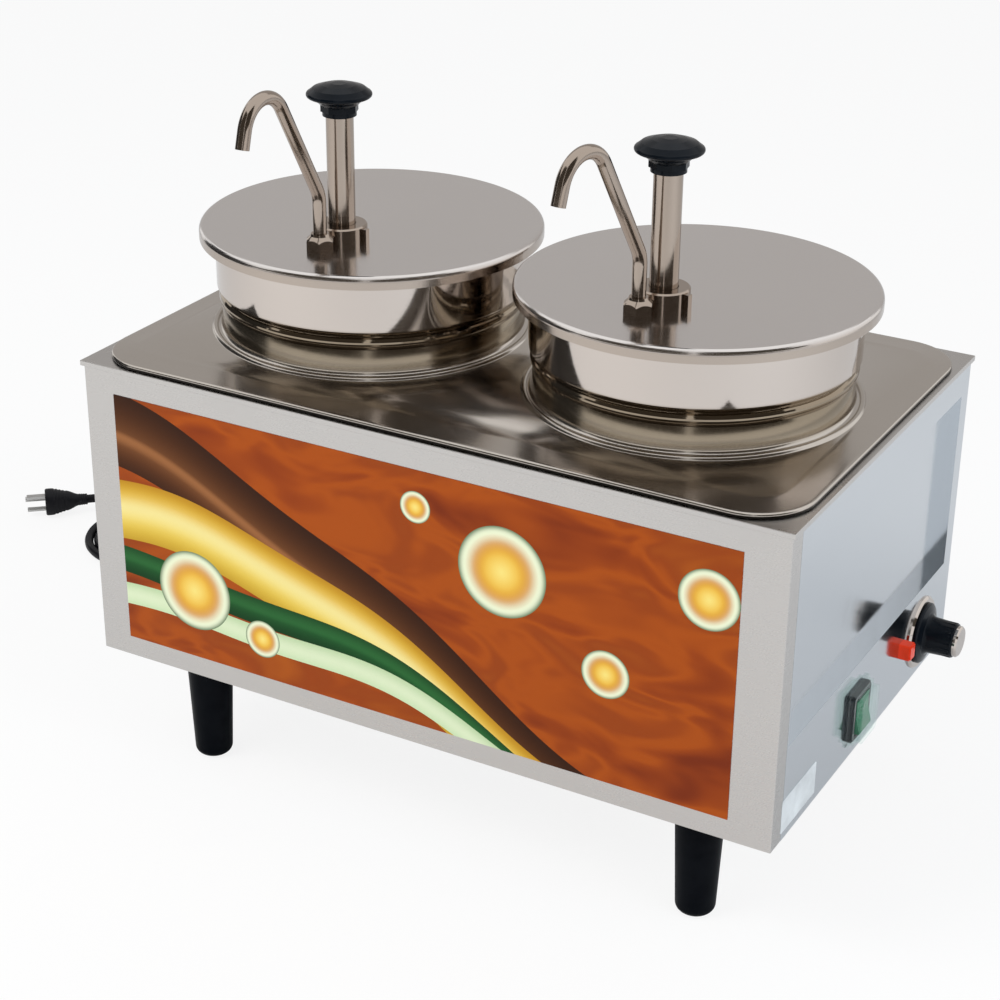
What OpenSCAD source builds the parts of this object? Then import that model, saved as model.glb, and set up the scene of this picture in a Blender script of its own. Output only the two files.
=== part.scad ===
// Countertop topping warmer: a sheet-metal cabinet on four legs with a water well, an adapter plate,
// two round insets, and a lid with a hand pump on each inset.
// Lengths are millimetres. X is to the right, Y to the back, Z up from the counter.

/* [Cabinet] */
// Width of the cabinet without its lip
body_w = 533.4; // [520:0.2:550]
// Depth of the cabinet without its lip
body_d = 325; // [318:1:345]
// Height of the cabinet without its legs
body_h = 228.6; // [222:0.2:240]
// Thickness of the cabinet's sheet metal
sheet_t = 1.2; // [0.9:0.1:1.5]
// How far the top frame stands out past the cabinet walls
lip_out = 2; // [1.6:0.1:4]
// Height of the folded lip around the top frame
lip_h = 3.8; // [3:0.1:8]
// Width of the front panel's return flange on each side
return_w = 16; // [12:1:20]
// Width of the folded flanges that carry the bottom cover
fold_w = 12; // [10:1:14]

/* [Side recess] */
// Depth of the recessed upper field on the right side
recess_depth = 8; // [4:0.5:9]
// Height of the control field below the recess
control_h = 70; // [68:1:76]
// Height of the plain band above the recess
recess_top = 26; // [18:1:36]
// Width of the plain band behind the recess
recess_back = 14; // [8:1:30]

/* [Legs] */
// Height of the legs
leg_h = 90; // [75:1:102]
// Radius of a leg at the cabinet
leg_top_r = 17.5; // [15:0.5:20]
// Radius of a leg at the counter
leg_tip_r = 14; // [11:0.5:15]
// Distance from the cabinet's side to a leg's axis
leg_in_x = 66; // [50:1:80]
// Distance from the cabinet's front or back to a leg's axis
leg_in_y = 38.5; // [32:0.5:50]
// Radius of the threaded studs in the legs
stud_r = 4.7; // [4:0.1:5.5]

/* [Water well] */
// Width of the top frame's ledge on each side of the well
ledge_x = 17.7; // [15.7:0.1:26]
// Width of the top frame's ledge before and behind the well
ledge_y = 17.5; // [16.5:0.1:22]
// How deep the well reaches below the top frame
well_depth = 156; // [140:1:158]
// Corner radius of the well
well_r = 40; // [25:1:50]
// Thickness of the drawn well
pan_t = 1; // [0.8:0.1:1.5]
// Width of the well's flange under the top frame
pan_flange = 6; // [4:0.5:7]

/* [Adapter plate] */
// Width of the lip left bare on each side of the adapter plate
plate_in_x = 4.7; // [2.7:0.1:9]
// Width of the lip left bare before and behind the adapter plate
plate_in_y = 3; // [2.5:0.1:8]
// Corner radius of the adapter plate
plate_r = 41; // [25:1:55]
// Thickness of the adapter plate's sheet
plate_t = 1.2; // [0.9:0.1:1.5]
// Height of the adapter plate's downturned edge
plate_edge = 3.2; // [2:0.1:5]
// Rise from the plate's edge to its flat field
plate_rise = 1.6; // [0.8:0.1:3]
// Width of the sloped border around the flat field
plate_slope = 22; // [15:1:30]
// Distance between the two insets' axes
inset_pitch = 254; // [250:1:258]
// How far the insets stand forward of the cabinet's middle
inset_forward = 5; // [0:1:8]
// Height of the formed collars that carry the insets
collar_h = 20; // [16:0.5:22]
// Outer radius of the rolled ring at a collar's foot
ring_r = 116; // [114:0.5:118]

/* [Insets] */
// Outer radius of an inset below its step
inset_r = 106.5; // [104:0.5:107]
// Outer radius of an inset's upper band
band_r = 111.5; // [111:0.1:113]
// Height of the upper band, with the rim
band_h = 43; // [38:1:50]
// Height of the rounded step under the band
bead_h = 12; // [11:0.5:14]
// Outer radius of an inset's rolled rim
rim_r = 118; // [117:0.5:118.5]
// Overall height of an inset
inset_h = 203; // [190:1:210]
// Wall thickness of an inset
inset_t = 1; // [0.8:0.1:1.4]

/* [Lids] */
// Outer radius of a lid
lid_r = 122.4; // [121:0.2:124]
// Thickness of a lid's sheet
lid_t = 1.2; // [1:0.1:1.6]
// Height of a lid's turned-down rim
lid_rim_h = 9.1; // [7:0.1:14]
// Radius of the rounded edge between a lid's top and rim
lid_round = 4; // [2.5:0.5:5]

/* [Pumps] */
// How far a pump stands forward of its lid's centre
pump_forward = 45; // [40:1:54]
// How far each lid is turned on its inset, its pump towards the warmer's middle
lid_turn = 5; // [0:1:10]
// How far each pump's outlet is turned on its lid towards the left
pump_turn = 6; // [5:1:12]
// Outer radius of a pump cylinder
cyl_r = 15; // [14:0.2:15.6]
// Wall thickness of a pump cylinder
cyl_t = 2; // [1.5:0.1:2.2]
// Radius of the lock collar on the lid
lock_r = 17.6; // [17:0.1:18.4]
// Height of the lock collar
lock_h = 11; // [9:0.5:16]
// Outer radius of the plunger tube
plunger_r = 9.5; // [8.5:0.1:10.5]
// Wall thickness of the plunger tube
plunger_t = 1.2; // [0.8:0.1:1.6]
// Length of a full pump stroke
stroke = 60; // [40:1:64]
// Space between the knob and the lock collar when the pump is pressed down
knob_park = 16.1; // [15:0.1:26]
// Radius of the pump knob
knob_r = 22.5; // [20:0.5:23]
// Distance from the plunger's axis to the discharge tube's
riser_u = 26.6; // [26:0.2:30]
// Outer radius of the discharge tube
spout_r = 4.7; // [4:0.1:5.2]
// Wall thickness of the discharge tube
spout_t = 0.9; // [0.6:0.1:1.2]
// Height above the lid at which the discharge tube turns forward
spout_bend_z = 38; // [30:1:46]
// Slant of the discharge tube from the vertical, in degrees
spout_slant = 30; // [24:1:34]
// Length of the slanted stretch
spout_run = 74; // [60:1:84]
// Bend radius at the foot of the slant
spout_foot_r = 22; // [15:1:28]
// Bend radius of the arch
spout_arch_r = 22; // [16:1:28]
// Lean of the outlet from the vertical, in degrees
spout_lean = 16; // [4:1:25]
// Length of the straight outlet
spout_out = 12.4; // [8:0.2:24]

/* [Controls] */
// Distance of the thermostat dial behind the cabinet's middle
dial_y = 106; // [98:1:114]
// Height of the dial's axis above the cabinet's lower edge
dial_z = 33; // [30:1:38]
// Radius of the dial's bezel
bezel_r = 27; // [24:0.5:28]
// Thickness of the dial's bezel
bezel_t = 2.6; // [1.6:0.2:4]
// Radius of the knob's skirt
skirt_r = 22.5; // [18:0.5:25]
// Radius of the knob's grip
grip_r = 12.5; // [10:0.5:14]
// How far the knob reaches out from the cabinet, without its cap
grip_out = 28; // [22:1:34]
// Thickness of the knob's metal cap
cap_t = 3; // [2:0.5:4]
// Distance of the switch in front of the cabinet's middle
switch_y = 19.5; // [10:0.5:30]
// Height of the switch's centre above the cabinet's lower edge
switch_z = 32; // [30:1:40]
// Width of the switch's bezel
switch_w = 32; // [28:1:36]
// Height of the switch's bezel
switch_h = 36; // [32:1:38]
// How far the switch's bezel stands out
switch_out = 4; // [3:0.5:6]
// Angle that the rocker turns through, in degrees
rocker_turn = 14; // [10:1:16]
// Distance of the indicator lamp behind the cabinet's middle
lamp_y = 66; // [60:1:70]
// Height of the lamp's centre above the cabinet's lower edge
lamp_z = 38; // [33:1:42]
// Height of the lamp's lens
lamp_h = 12; // [10:1:14]
// Width of the lamp's lens
lamp_w = 10; // [8:1:12]
// How far the lamp's lens stands out
lamp_out = 9; // [6:0.5:12]

/* [Front graphic] */
// Bare border left of the graphic
art_left = 24.5; // [18:0.5:60]
// Bare border right of the graphic
art_right = 30.7; // [18:0.1:60]
// Bare border above the graphic
art_top = 20.8; // [10:0.1:40]
// Bare border below the graphic
art_bottom = 15.7; // [10:0.1:40]
// Thickness of the graphic sheet
art_t = 0.4; // [0.2:0.1:0.8]

/* [Cord] */
// Radius of the mains cord
cord_r = 4; // [3.5:0.1:4.5]
// Distance of the cord outlet left of the cabinet's middle
outlet_x = 200; // [180:1:220]
// Height of the cord outlet above the cabinet's lower edge
outlet_z = 30; // [22:1:36]
// Length of the strain relief behind the cabinet
relief_len = 30; // [24:1:40]

/* [Hidden] */

$fn = 96;
gap = 0.3;          // clearance between pieces that come apart or turn
fit = 0.05;         // clearance of a stud or screw in its hole
eps = 0.01;         // how far a cutting shape runs past what it cuts

side = body_w / 2;
front = -body_d / 2;
back = body_d / 2;
top_z = leg_h + body_h;
sheet_z = top_z - sheet_t;
inner_x = side - sheet_t;
well_w = body_w - 2 * ledge_x;
well_d = body_d - 2 * ledge_y;
plate_w = body_w + 2 * lip_out - 2 * plate_in_x;
plate_d = body_d + 2 * lip_out - 2 * plate_in_y;
control_top = leg_h + control_h;
recess_y0 = front + return_w;
recess_y1 = back - recess_back;
recess_z1 = top_z - recess_top;

pan_floor = top_z - well_depth;
pan_under = pan_floor - pan_t;

plate_z = top_z + gap;
field_z = plate_z + plate_edge + plate_rise;
collar_in = inset_r + 0.7;
collar_out = collar_in + plate_t;
collar_top = field_z + collar_h;

step_z = collar_top + gap;
rim_z = step_z + bead_h + band_h;
inset_z = rim_z - inset_h;
inset_y = -inset_forward;
lid_under = rim_z + gap;
lid_z = lid_under + lid_t;

pump_y = inset_y - pump_forward * cos(lid_turn);
cyl_in = cyl_r - cyl_t;
valve_h = 16;
valve_z = inset_z + inset_t + 6;
cyl_z = valve_z + valve_h;
knob_bottom = lid_z + lock_h + knob_park + stroke;
piston_h = 10;
piston_z = lid_under - 22;      // top of the piston when the pump is up
seal_h = 6;
seal_floor = piston_z - piston_h - seal_h;
knob_neck_h = 9.5;
knob_cone_h = 5.5;
knob_dome_h = 6.8;

pivot_out = switch_out - 2;
plug_r = 12.5;

// The shift that puts the origin under the middle of the warmer, cord left out.
tip_u = riser_u + spout_foot_r * (1 - cos(spout_slant)) + spout_run * sin(spout_slant)
    + spout_arch_r * (cos(spout_slant) + cos(spout_lean)) + spout_out * sin(spout_lean);
far_turn = pump_turn - lid_turn;
far_front = pump_y - tip_u * cos(far_turn) - spout_r * sqrt(1 - pow(sin(spout_lean) * cos(far_turn), 2));
far_right = side + grip_out + cap_t;
shift_x = -(far_right - side - lip_out) / 2;
shift_y = -(far_front + back + lip_out) / 2;

function arc(cx, cy, r, from, to, steps = 8) =
    [for (i = [0:steps]) let (a = from + (to - from) * i / steps) [cx + r * cos(a), cy + r * sin(a)]];
function reversed(list) = [for (i = [len(list) - 1:-1:0]) list[i]];

module placed() {
    translate([shift_x, shift_y, 0]) children();
}

module box(x0, x1, y0, y1, z0, z1) {
    translate([x0, y0, z0]) cube([x1 - x0, y1 - y0, z1 - z0]);
}

module round_rect(w, d, r) {
    square([w - 2 * r, d], center = true);
    square([w, d - 2 * r], center = true);
    for (sx = [-1, 1], sy = [-1, 1])
        translate([sx * (w / 2 - r), sy * (d / 2 - r)]) circle(r);
}

module rod(p, q, r) {
    v = q - p;
    translate(p)
        rotate([0, acos(v[2] / norm(v)), atan2(v[1], v[0])])
            cylinder(r = r, h = norm(v), $fn = 24);
}

// A chain of round rods with a slightly larger ball at each bend.
module wire(points, r) {
    for (i = [0:len(points) - 2]) rod(points[i], points[i + 1], r);
    for (i = [1:len(points) - 2]) translate(points[i]) sphere(r * 1.2, $fn = 24);
}

// Turns a shape that stands on Z so that it points out of the right side.
module out_right(y, z) {
    translate([side, y, z]) rotate([0, 90, 0]) children();
}

module leg_places() {
    for (sx = [-1, 1], sy = [-1, 1])
        translate([sx * (side - leg_in_x), sy * (back - leg_in_y), 0]) children();
}

screw_x = side - sheet_t - fold_w / 2;
screw_r = 1.9;
module screw_places() {
    for (sx = [-1, 1], y = [recess_y0 + 20, 0, back - 36]) translate([sx * screw_x, y, 0]) children();
}

module inset_place(s) {
    translate([s * inset_pitch / 2, inset_y, 0]) children();
}

module pump_place(s) {
    inset_place(s) rotate([0, 0, -s * lid_turn]) translate([0, -pump_forward, 0])
        rotate([0, 0, -pump_turn]) children();
}

// Cabinet

recess_x = side - recess_depth;
top_fold = 7;                                               // width of the shell's folds under the top frame
front_fold = ledge_y - sheet_t - pan_t - pan_flange - gap;  // width of the front panel's fold beside the well
fold_z = leg_h + sheet_t + gap;
hole_dial_r = 6;
hole_lamp_r = 4.6;
switch_cut_w = switch_w - 6;
switch_cut_h = switch_h - 6;

module body_shell() {
    color("lightsteelblue") placed() difference() {
        union() {
            difference() {
                box(-side, side, recess_y0, back, leg_h, sheet_z);
                box(-inner_x, inner_x, recess_y0 - eps, back - sheet_t, leg_h - eps, sheet_z + eps);
                box(inner_x - eps, side + eps, recess_y0 + sheet_t, recess_y1, control_top, recess_z1);
            }
            recess_tray();
            for (sx = [-1, 1]) side_folds(sx);
            box(-inner_x, inner_x, back - sheet_t - fold_w, back - sheet_t, fold_z, fold_z + sheet_t);
            box(-inner_x, inner_x, back - sheet_t - top_fold, back - sheet_t, sheet_z - sheet_t, sheet_z);
        }
        translate([0, 0, leg_h]) screw_places() cylinder(r = screw_r + fit, h = 3 * sheet_t + 1, $fn = 24);
        out_right(dial_y, leg_h + dial_z) cylinder(r = hole_dial_r, h = 20, center = true);
        out_right(lamp_y, leg_h + lamp_z) cylinder(r = hole_lamp_r, h = 20, center = true);
        out_right(-switch_y, leg_h + switch_z) cube([switch_cut_h, switch_cut_w, 20], center = true);
        translate([-outlet_x, back, leg_h + outlet_z]) rotate([90, 0, 0])
            cylinder(r = relief_neck, h = 20, center = true);
    }
}

// The tray of the recessed field: its floor and four walls.
module recess_tray() {
    difference() {
        box(recess_x - sheet_t, side, recess_y0, recess_y1 + sheet_t, control_top - sheet_t, recess_z1 + sheet_t);
        box(recess_x, side + eps, recess_y0 + sheet_t, recess_y1, control_top, recess_z1);
    }
}

// One side's joggled tab behind the front panel, and its top and bottom folds.
module side_folds(s) {
    tab = 9;
    scale([s, 1, 1]) {
        box(inner_x - sheet_t, inner_x, recess_y0 - tab, recess_y0 + 5, leg_h + 10, control_top - sheet_t - 2);
        box(inner_x - sheet_t, inner_x, recess_y0 - tab, recess_y0 + 5, recess_z1 + sheet_t + 2, sheet_z - 3);
        box(inner_x - fold_w, inner_x, recess_y0, back - sheet_t, fold_z, fold_z + sheet_t);
        box(inner_x - top_fold, inner_x, recess_y0, back - sheet_t, sheet_z - sheet_t, sheet_z);
    }
}

module front_panel() {
    color("gainsboro") placed() {
        difference() {
            box(-side, side, front, recess_y0, leg_h, sheet_z);
            box(-inner_x, inner_x, front + sheet_t, recess_y0 + eps, leg_h - eps, sheet_z + eps);
        }
        box(-inner_x, inner_x, front + sheet_t, front + sheet_t + front_fold, sheet_z - sheet_t, sheet_z);
        box(-inner_x, inner_x, front + sheet_t, front + sheet_t + fold_w, fold_z, fold_z + sheet_t);
    }
}

module front_graphic() {
    color("saddlebrown") placed()
        box(-side + art_left, side - art_right, front - art_t, front, leg_h + art_bottom, top_z - art_top);
}

module top_frame() {
    color("gainsboro") placed() difference() {
        box(-side - lip_out, side + lip_out, front - lip_out, back + lip_out, top_z - lip_h, top_z);
        box(-side - lip_out + sheet_t, side + lip_out - sheet_t, front - lip_out + sheet_t,
            back + lip_out - sheet_t, top_z - lip_h - eps, sheet_z);
        translate([0, 0, sheet_z - eps]) linear_extrude(sheet_t + 2 * eps) round_rect(well_w, well_d, well_r);
    }
}

module well_pan() {
    color("silver") placed() difference() {
        union() {
            translate([0, 0, pan_under]) linear_extrude(sheet_z - pan_under)
                round_rect(well_w + 2 * pan_t, well_d + 2 * pan_t, well_r + pan_t);
            translate([0, 0, sheet_z - pan_t]) linear_extrude(pan_t)
                round_rect(well_w + 2 * (pan_t + pan_flange), well_d + 2 * (pan_t + pan_flange),
                    well_r + pan_t + pan_flange);
        }
        translate([0, 0, pan_floor]) linear_extrude(well_depth) round_rect(well_w, well_d, well_r);
    }
}

module insulation() {
    edge = well_d / 2 + pan_t + gap;
    color("khaki") placed() for (s = [-1, 1])
        box(-well_w / 2 + well_r, well_w / 2 - well_r, s > 0 ? edge : front + sheet_t + gap,
            s > 0 ? back - sheet_t - gap : -edge, pan_floor, sheet_z - 20);
}

// Heater

element_r = 4;
element_y = well_d * 0.2;
element_x = well_w * 0.28;
element_z = pan_under - element_r - 0.1;
element_lead = 14;
strap_t = 1.6;
strap_x = element_x * 0.64;

module heating_element() {
    color("dimgray") placed() translate([0, 0, element_z]) {
        for (s = [-1, 1]) {
            translate([-element_x, s * element_y, 0]) rotate([0, 90, 0]) cylinder(r = element_r, h = 2 * element_x);
            translate([element_x, s * element_y, 0]) rotate([0, 90, 0])
                cylinder(r = 1.6, h = element_lead, $fn = 24);
        }
        translate([-element_x, 0, 0]) rotate([0, 0, 90]) rotate_extrude(angle = 180)
            translate([element_y, 0]) circle(element_r, $fn = 32);
    }
}

module element_clamps() {
    reach = element_y + element_r + 8;
    z = element_z - element_r - 0.1;
    color("gray") placed() for (s = [-1, 1]) {
        box(s * strap_x - 8, s * strap_x + 8, -reach, reach, z - strap_t, z);
        for (e = [-1, 1]) translate([s * strap_x, e * (reach - 4), z - strap_t])
            cylinder(r = 2.5, h = pan_under - z + strap_t, $fn = 24);
    }
}

// Base

module bottom_cover() {
    slot_w = 4;
    slot_len = 46;
    slot_pitch = 14;
    slots_out = 6;          // slots on each side of the middle one
    slot_row = body_d * 0.19;
    color("silver") placed() difference() {
        box(-inner_x + gap, inner_x - gap, front + sheet_t + gap, back - sheet_t - gap, leg_h, leg_h + sheet_t);
        leg_places() translate([0, 0, leg_h - 1]) cylinder(r = stud_r + fit, h = sheet_t + 2);
        screw_places() translate([0, 0, leg_h - 1]) cylinder(r = screw_r + fit, h = sheet_t + 2, $fn = 24);
        for (i = [-slots_out:slots_out], s = [-1, 1])
            translate([i * slot_pitch, s * slot_row, leg_h - 1]) linear_extrude(sheet_t + 2) {
                square([slot_w, slot_len - slot_w], center = true);
                for (e = [-1, 1]) translate([0, e * (slot_len - slot_w) / 2]) circle(slot_w / 2, $fn = 24);
            }
    }
}

stud_in = leg_h * 0.25;
stud_bottom = leg_h - stud_in;
nut_h = 6;
module leg(sx, sy) {
    tip_round = 6;
    band_z = leg_h * 0.91;      // foot of the straight band at the leg's top
    slope_z = leg_h * 0.87;
    slope = leg_top_r - leg_tip_r;
    color([0.08, 0.09, 0.11]) placed() translate([sx * (side - leg_in_x), sy * (back - leg_in_y), 0]) difference() {
        rotate_extrude() polygon(concat([[0, 0]],
            arc(leg_tip_r - tip_round, tip_round, tip_round, -90, 0),
            [[leg_tip_r + slope * 0.85, slope_z], [leg_top_r, band_z], [leg_top_r, leg_h - 1],
                [leg_top_r - 1, leg_h], [0, leg_h]]));
        translate([0, 0, stud_bottom]) cylinder(r = stud_r + fit, h = leg_h);
    }
}

module leg_studs() {
    color("gray") placed() leg_places() translate([0, 0, stud_bottom])
        cylinder(r = stud_r, h = stud_in + sheet_t + nut_h + 3);
}

module leg_nuts() {
    color("silver") placed() leg_places() translate([0, 0, leg_h + sheet_t]) difference() {
        cylinder(r = stud_r * 1.75, h = nut_h, $fn = 6);
        translate([0, 0, -1]) cylinder(r = stud_r + fit, h = nut_h + 2);
    }
}

module cover_screws() {
    head_h = 2;
    color("silver") placed() screw_places() translate([0, 0, leg_h - head_h]) {
        difference() {
            cylinder(r1 = 3.2, r2 = 3.8, h = head_h, $fn = 32);
            for (a = [0, 90]) rotate([0, 0, a]) cube([4, 0.9, 1.6], center = true);
        }
        cylinder(r = screw_r, h = head_h + 2 * sheet_t + gap + 5, $fn = 24);
    }
}

// Controls

stat_size = [34, 38, 30];
stat_tab = [7, 6, 1];
stat_tab_y = 9;
module thermostat_body() {
    color("dimgray") placed() translate([inner_x, dial_y, leg_h + dial_z]) difference() {
        union() {
            translate([-stat_size[0], -stat_size[1] / 2, -stat_size[2] / 2]) cube(stat_size);
            for (e = [-1, 1])
                translate([-stat_size[0] - stat_tab[0], e * stat_tab_y - stat_tab[1] / 2, -stat_tab[2] / 2])
                    cube(stat_tab + [eps, 0, 0]);
        }
        translate([-shaft_in - gap, 0, 0]) rotate([0, 90, 0]) cylinder(r = shaft_r + fit, h = stat_size[0]);
    }
}

module sensing_bulb() {
    bulb_r = 4;
    bulb_len = well_w * 0.16;
    bulb_y = well_d * 0.07;
    bulb_z = pan_under - bulb_r - 0.1;
    stat_x = inner_x - stat_size[0];
    entry_z = leg_h + dial_z + stat_size[2] * 0.2;
    color("peru") placed() {
        translate([0, bulb_y, bulb_z]) rotate([0, 90, 0]) cylinder(r = bulb_r, h = bulb_len);
        wire([[bulb_len - 1, bulb_y, bulb_z], [stat_x * 0.65, bulb_y, bulb_z - 4],
            [stat_x * 0.82, (bulb_y + dial_y) / 2, bulb_z - 10],
            [stat_x - 14, dial_y, entry_z], [stat_x + 2, dial_y, entry_z]], 1);
    }
}

module dial_bezel() {
    color("silver") placed() out_right(dial_y, leg_h + dial_z) difference() {
        rotate_extrude() polygon([[hole_dial_r, 0], [bezel_r, 0], [bezel_r, bezel_t * 0.4], [bezel_r - 1.5, bezel_t],
            [skirt_r - 1, bezel_t], [skirt_r - 3, bezel_t * 0.5], [hole_dial_r, bezel_t * 0.5]]);
        for (a = [45, 225]) rotate([0, 0, a]) translate([skirt_r - 9, 0, -1]) cylinder(r = 1.7, h = 6, $fn = 24);
    }
}

shaft_r = 3;
shaft_in = 18;
shaft_top = grip_out - 6;
module control_knob() {
    skirt_z = bezel_t + gap;
    color([0.07, 0.07, 0.08]) placed() out_right(dial_y, leg_h + dial_z) difference() {
        union() {
            rotate_extrude() polygon(concat(
                [[0, skirt_z], [skirt_r, skirt_z], [skirt_r, skirt_z + 1.4], [skirt_r - 1.2, skirt_z + 2.4]],
                arc(grip_r + 4.4, skirt_z + 7.2, 3.4, 270, 180, 6),
                [[grip_r, grip_out - 1], [grip_r - 1, grip_out], [0, grip_out]]));
            for (a = [0:20:340]) rotate([0, 0, a]) translate([grip_r - 0.1, 0, skirt_z + 7])
                cylinder(r = 0.7, h = grip_out - skirt_z - 9, $fn = 16);
        }
        translate([0, 0, skirt_z - 1]) cylinder(r = shaft_r, h = shaft_top - skirt_z + 1);
    }
}

module knob_cap() {
    color("silver") placed() out_right(dial_y, leg_h + dial_z) translate([0, 0, grip_out])
        rotate_extrude()
            polygon([[0, 0], [grip_r - 1, 0], [grip_r - 1, cap_t * 0.6], [grip_r - 2.2, cap_t], [0, cap_t]]);
}

module thermostat_shaft() {
    color("silver") placed() out_right(dial_y, leg_h + dial_z) translate([0, 0, -sheet_t - shaft_in])
        cylinder(r = shaft_r, h = sheet_t + shaft_in + shaft_top);
}

switch_frame = 4.5;
window_w = switch_w - 2 * switch_frame;
window_h = switch_h - 2 * switch_frame;
switch_deep = 24;
switch_tab = 8;
switch_tab_y = 6;
pin_r = 1.5;
pin_end = 1.6;
module switch_housing() {
    color([0.06, 0.06, 0.07]) placed() out_right(-switch_y, leg_h + switch_z) difference() {
        union() {
            linear_extrude(switch_out - 1) round_rect(switch_h, switch_w, 3);
            translate([0, 0, switch_out - 1]) linear_extrude(1) round_rect(switch_h - 2, switch_w - 2, 2.4);
            translate([0, 0, -switch_deep / 2])
                cube([switch_cut_h - 2 * gap, switch_cut_w - 2 * gap, switch_deep], center = true);
            for (x = [-8, 0, 8], e = [-1, 1]) translate([x - 0.4, e * switch_tab_y - 3, -switch_deep - switch_tab])
                cube([0.8, 6, switch_tab + 1]);
        }
        translate([0, 0, -rocker_deep]) linear_extrude(rocker_deep + switch_out + 1)
            square([window_h, window_w], center = true);
        translate([0, 0, pivot_out]) rotate([90, 0, 0])
            cylinder(r = pin_r + fit, h = rocker_w + 2 * (pin_end + gap), center = true, $fn = 32);
    }
}

rocker_deep = 9;
rocker_proud = 2.4;
rocker_w = window_w - 2 * gap;
rocker_half = window_h / 2 - 1.4;
rocker_rise = rocker_half * tan(rocker_turn / 2);
rocker_peak = pivot_out + rocker_proud + 2 * rocker_rise + 0.6;
module switch_rocker() {
    heel = rocker_half * 0.45;
    heel_z = 3.6 - rocker_deep;
    end_z = rocker_proud + rocker_rise;
    color("seagreen") placed() out_right(-switch_y, leg_h + switch_z)
        translate([0, 0, pivot_out]) rotate([90, 0, 0]) {
        rotate([0, 0, rocker_turn / 2]) linear_extrude(rocker_w, center = true)
            polygon([[-rocker_half, end_z], [0, rocker_proud], [rocker_half, end_z],
                [rocker_half, -1], [heel, heel_z], [-heel, heel_z], [-rocker_half, -1]]);
        cylinder(r = pin_r, h = rocker_w + 2 * pin_end, center = true, $fn = 32);
    }
}

module switch_boot() {
    wall = 1.2;
    inner_h = switch_h + 2 * gap;
    inner_w = switch_w + 2 * gap;
    dome = rocker_peak + 1;
    color([0.85, 0.9, 0.9, 0.4]) placed() out_right(-switch_y, leg_h + switch_z) difference() {
        union() {
            linear_extrude(1.4) round_rect(inner_h + 2 * wall + 4, inner_w + 2 * wall + 4, 5);
            linear_extrude(switch_out + 1) round_rect(inner_h + 2 * wall, inner_w + 2 * wall, 4);
            translate([0, 0, switch_out]) linear_extrude(dome + wall - switch_out)
                round_rect(inner_h - 2, inner_w - 2, 4);
        }
        translate([0, 0, -1]) linear_extrude(switch_out + 1 + gap) round_rect(inner_h, inner_w, 3);
        translate([0, 0, switch_out]) linear_extrude(dome - switch_out)
            round_rect(inner_h - 2 - 2 * wall, inner_w - 2 - 2 * wall, 3);
    }
}

module indicator_lamp() {
    stem_r = hole_lamp_r - gap;
    color([0.95, 0.27, 0.08]) placed() out_right(lamp_y, leg_h + lamp_z) {
        linear_extrude(lamp_out - 1) round_rect(lamp_h, lamp_w, 1.5);
        translate([0, 0, lamp_out - 1]) linear_extrude(1) round_rect(lamp_h - 1.6, lamp_w - 1.6, 1);
        translate([0, 0, -22]) cylinder(r = stem_r, h = 22 + eps, $fn = 32);
        translate([0, 0, -sheet_t - 3.2]) cylinder(r = stem_r + 2.5, h = 3.2, $fn = 6);
    }
}

block_x = -side * 0.56;
block_y = back * 0.55;
block_pitch = 12.5;
block_ways = 4;
block_h = 8;
block_tab_y = 5;
block_first = -(block_ways - 1) * block_pitch / 2;
module terminal_block() {
    wall = 2;
    half_w = block_ways * block_pitch / 2 + wall / 2;
    half_d = 2 * block_tab_y;
    color("ivory") placed() translate([block_x, block_y, leg_h + sheet_t]) difference() {
        union() {
            translate([-half_w, -half_d, 0]) cube([2 * half_w, 2 * half_d, block_h]);
            for (i = [0:block_ways]) translate([i * block_pitch - half_w, -half_d, 0])
                cube([wall, 2 * half_d, block_h + 6]);
        }
        for (i = [0:block_ways - 1], e = [-1, 1])
            translate([block_first + i * block_pitch, e * block_tab_y, block_h - 3]) cylinder(r = 2, h = 5, $fn = 24);
    }
}

module wiring() {
    wire_r = 1.3;
    low = leg_h + sheet_t + wire_r + 0.1;
    high = low + block_h;
    // A wire leaves one way of the block and drops to the floor of the cabinet.
    function leave(way, drop) = let (x = block_x + block_first + way * block_pitch, y = block_y - block_tab_y)
        [[x, y, high], [x, y - 8, high], [x, y - drop, low]];
    switch_at = [side - switch_deep - switch_tab, -switch_y - switch_tab_y, leg_h + switch_z];
    stat_at = [inner_x - stat_size[0] - stat_tab[0], dial_y - stat_tab_y, leg_h + dial_z];
    lead_at = [element_x + element_lead, -element_y, element_z];
    to_switch = concat(leave(2, 15), [[side * 0.11, 10, low], [side * 0.56, switch_at[1], low],
        switch_at - [14, 0, 0], switch_at]);
    to_thermostat = concat(leave(3, 13), [[side * 0.15, 30, low], [side * 0.6, stat_at[1], low],
        stat_at - [15, 0, 0], stat_at]);
    to_element = concat(leave(1, 25), [[side * 0.3, lead_at[1], low], [lead_at[0] + 16, lead_at[1], low + 10],
        [lead_at[0] + 10, lead_at[1], element_z - 4], lead_at + [5, 0, 0], lead_at]);
    color("firebrick") placed() for (path = [to_switch, to_thermostat, to_element])
        sweep([for (i = [0:len(path) - 1]) tube_ring(path, i, wire_r, 8, [-0.6, 0.8, 0])]);
}

// Adapter plate

module plate_form(inset, lift) {
    hull() {
        linear_extrude(eps) round_rect(plate_w - 2 * inset, plate_d - 2 * inset, plate_r - inset, $fn = 32);
        translate([0, 0, plate_edge - lift - eps]) linear_extrude(eps)
            round_rect(plate_w - 2 * inset, plate_d - 2 * inset, plate_r - inset, $fn = 32);
        translate([0, 0, plate_edge + plate_rise - lift - eps]) linear_extrude(eps)
            round_rect(plate_w - 2 * (plate_slope + inset), plate_d - 2 * (plate_slope + inset),
                max(plate_r - plate_slope, 6), $fn = 32);
    }
}

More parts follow.
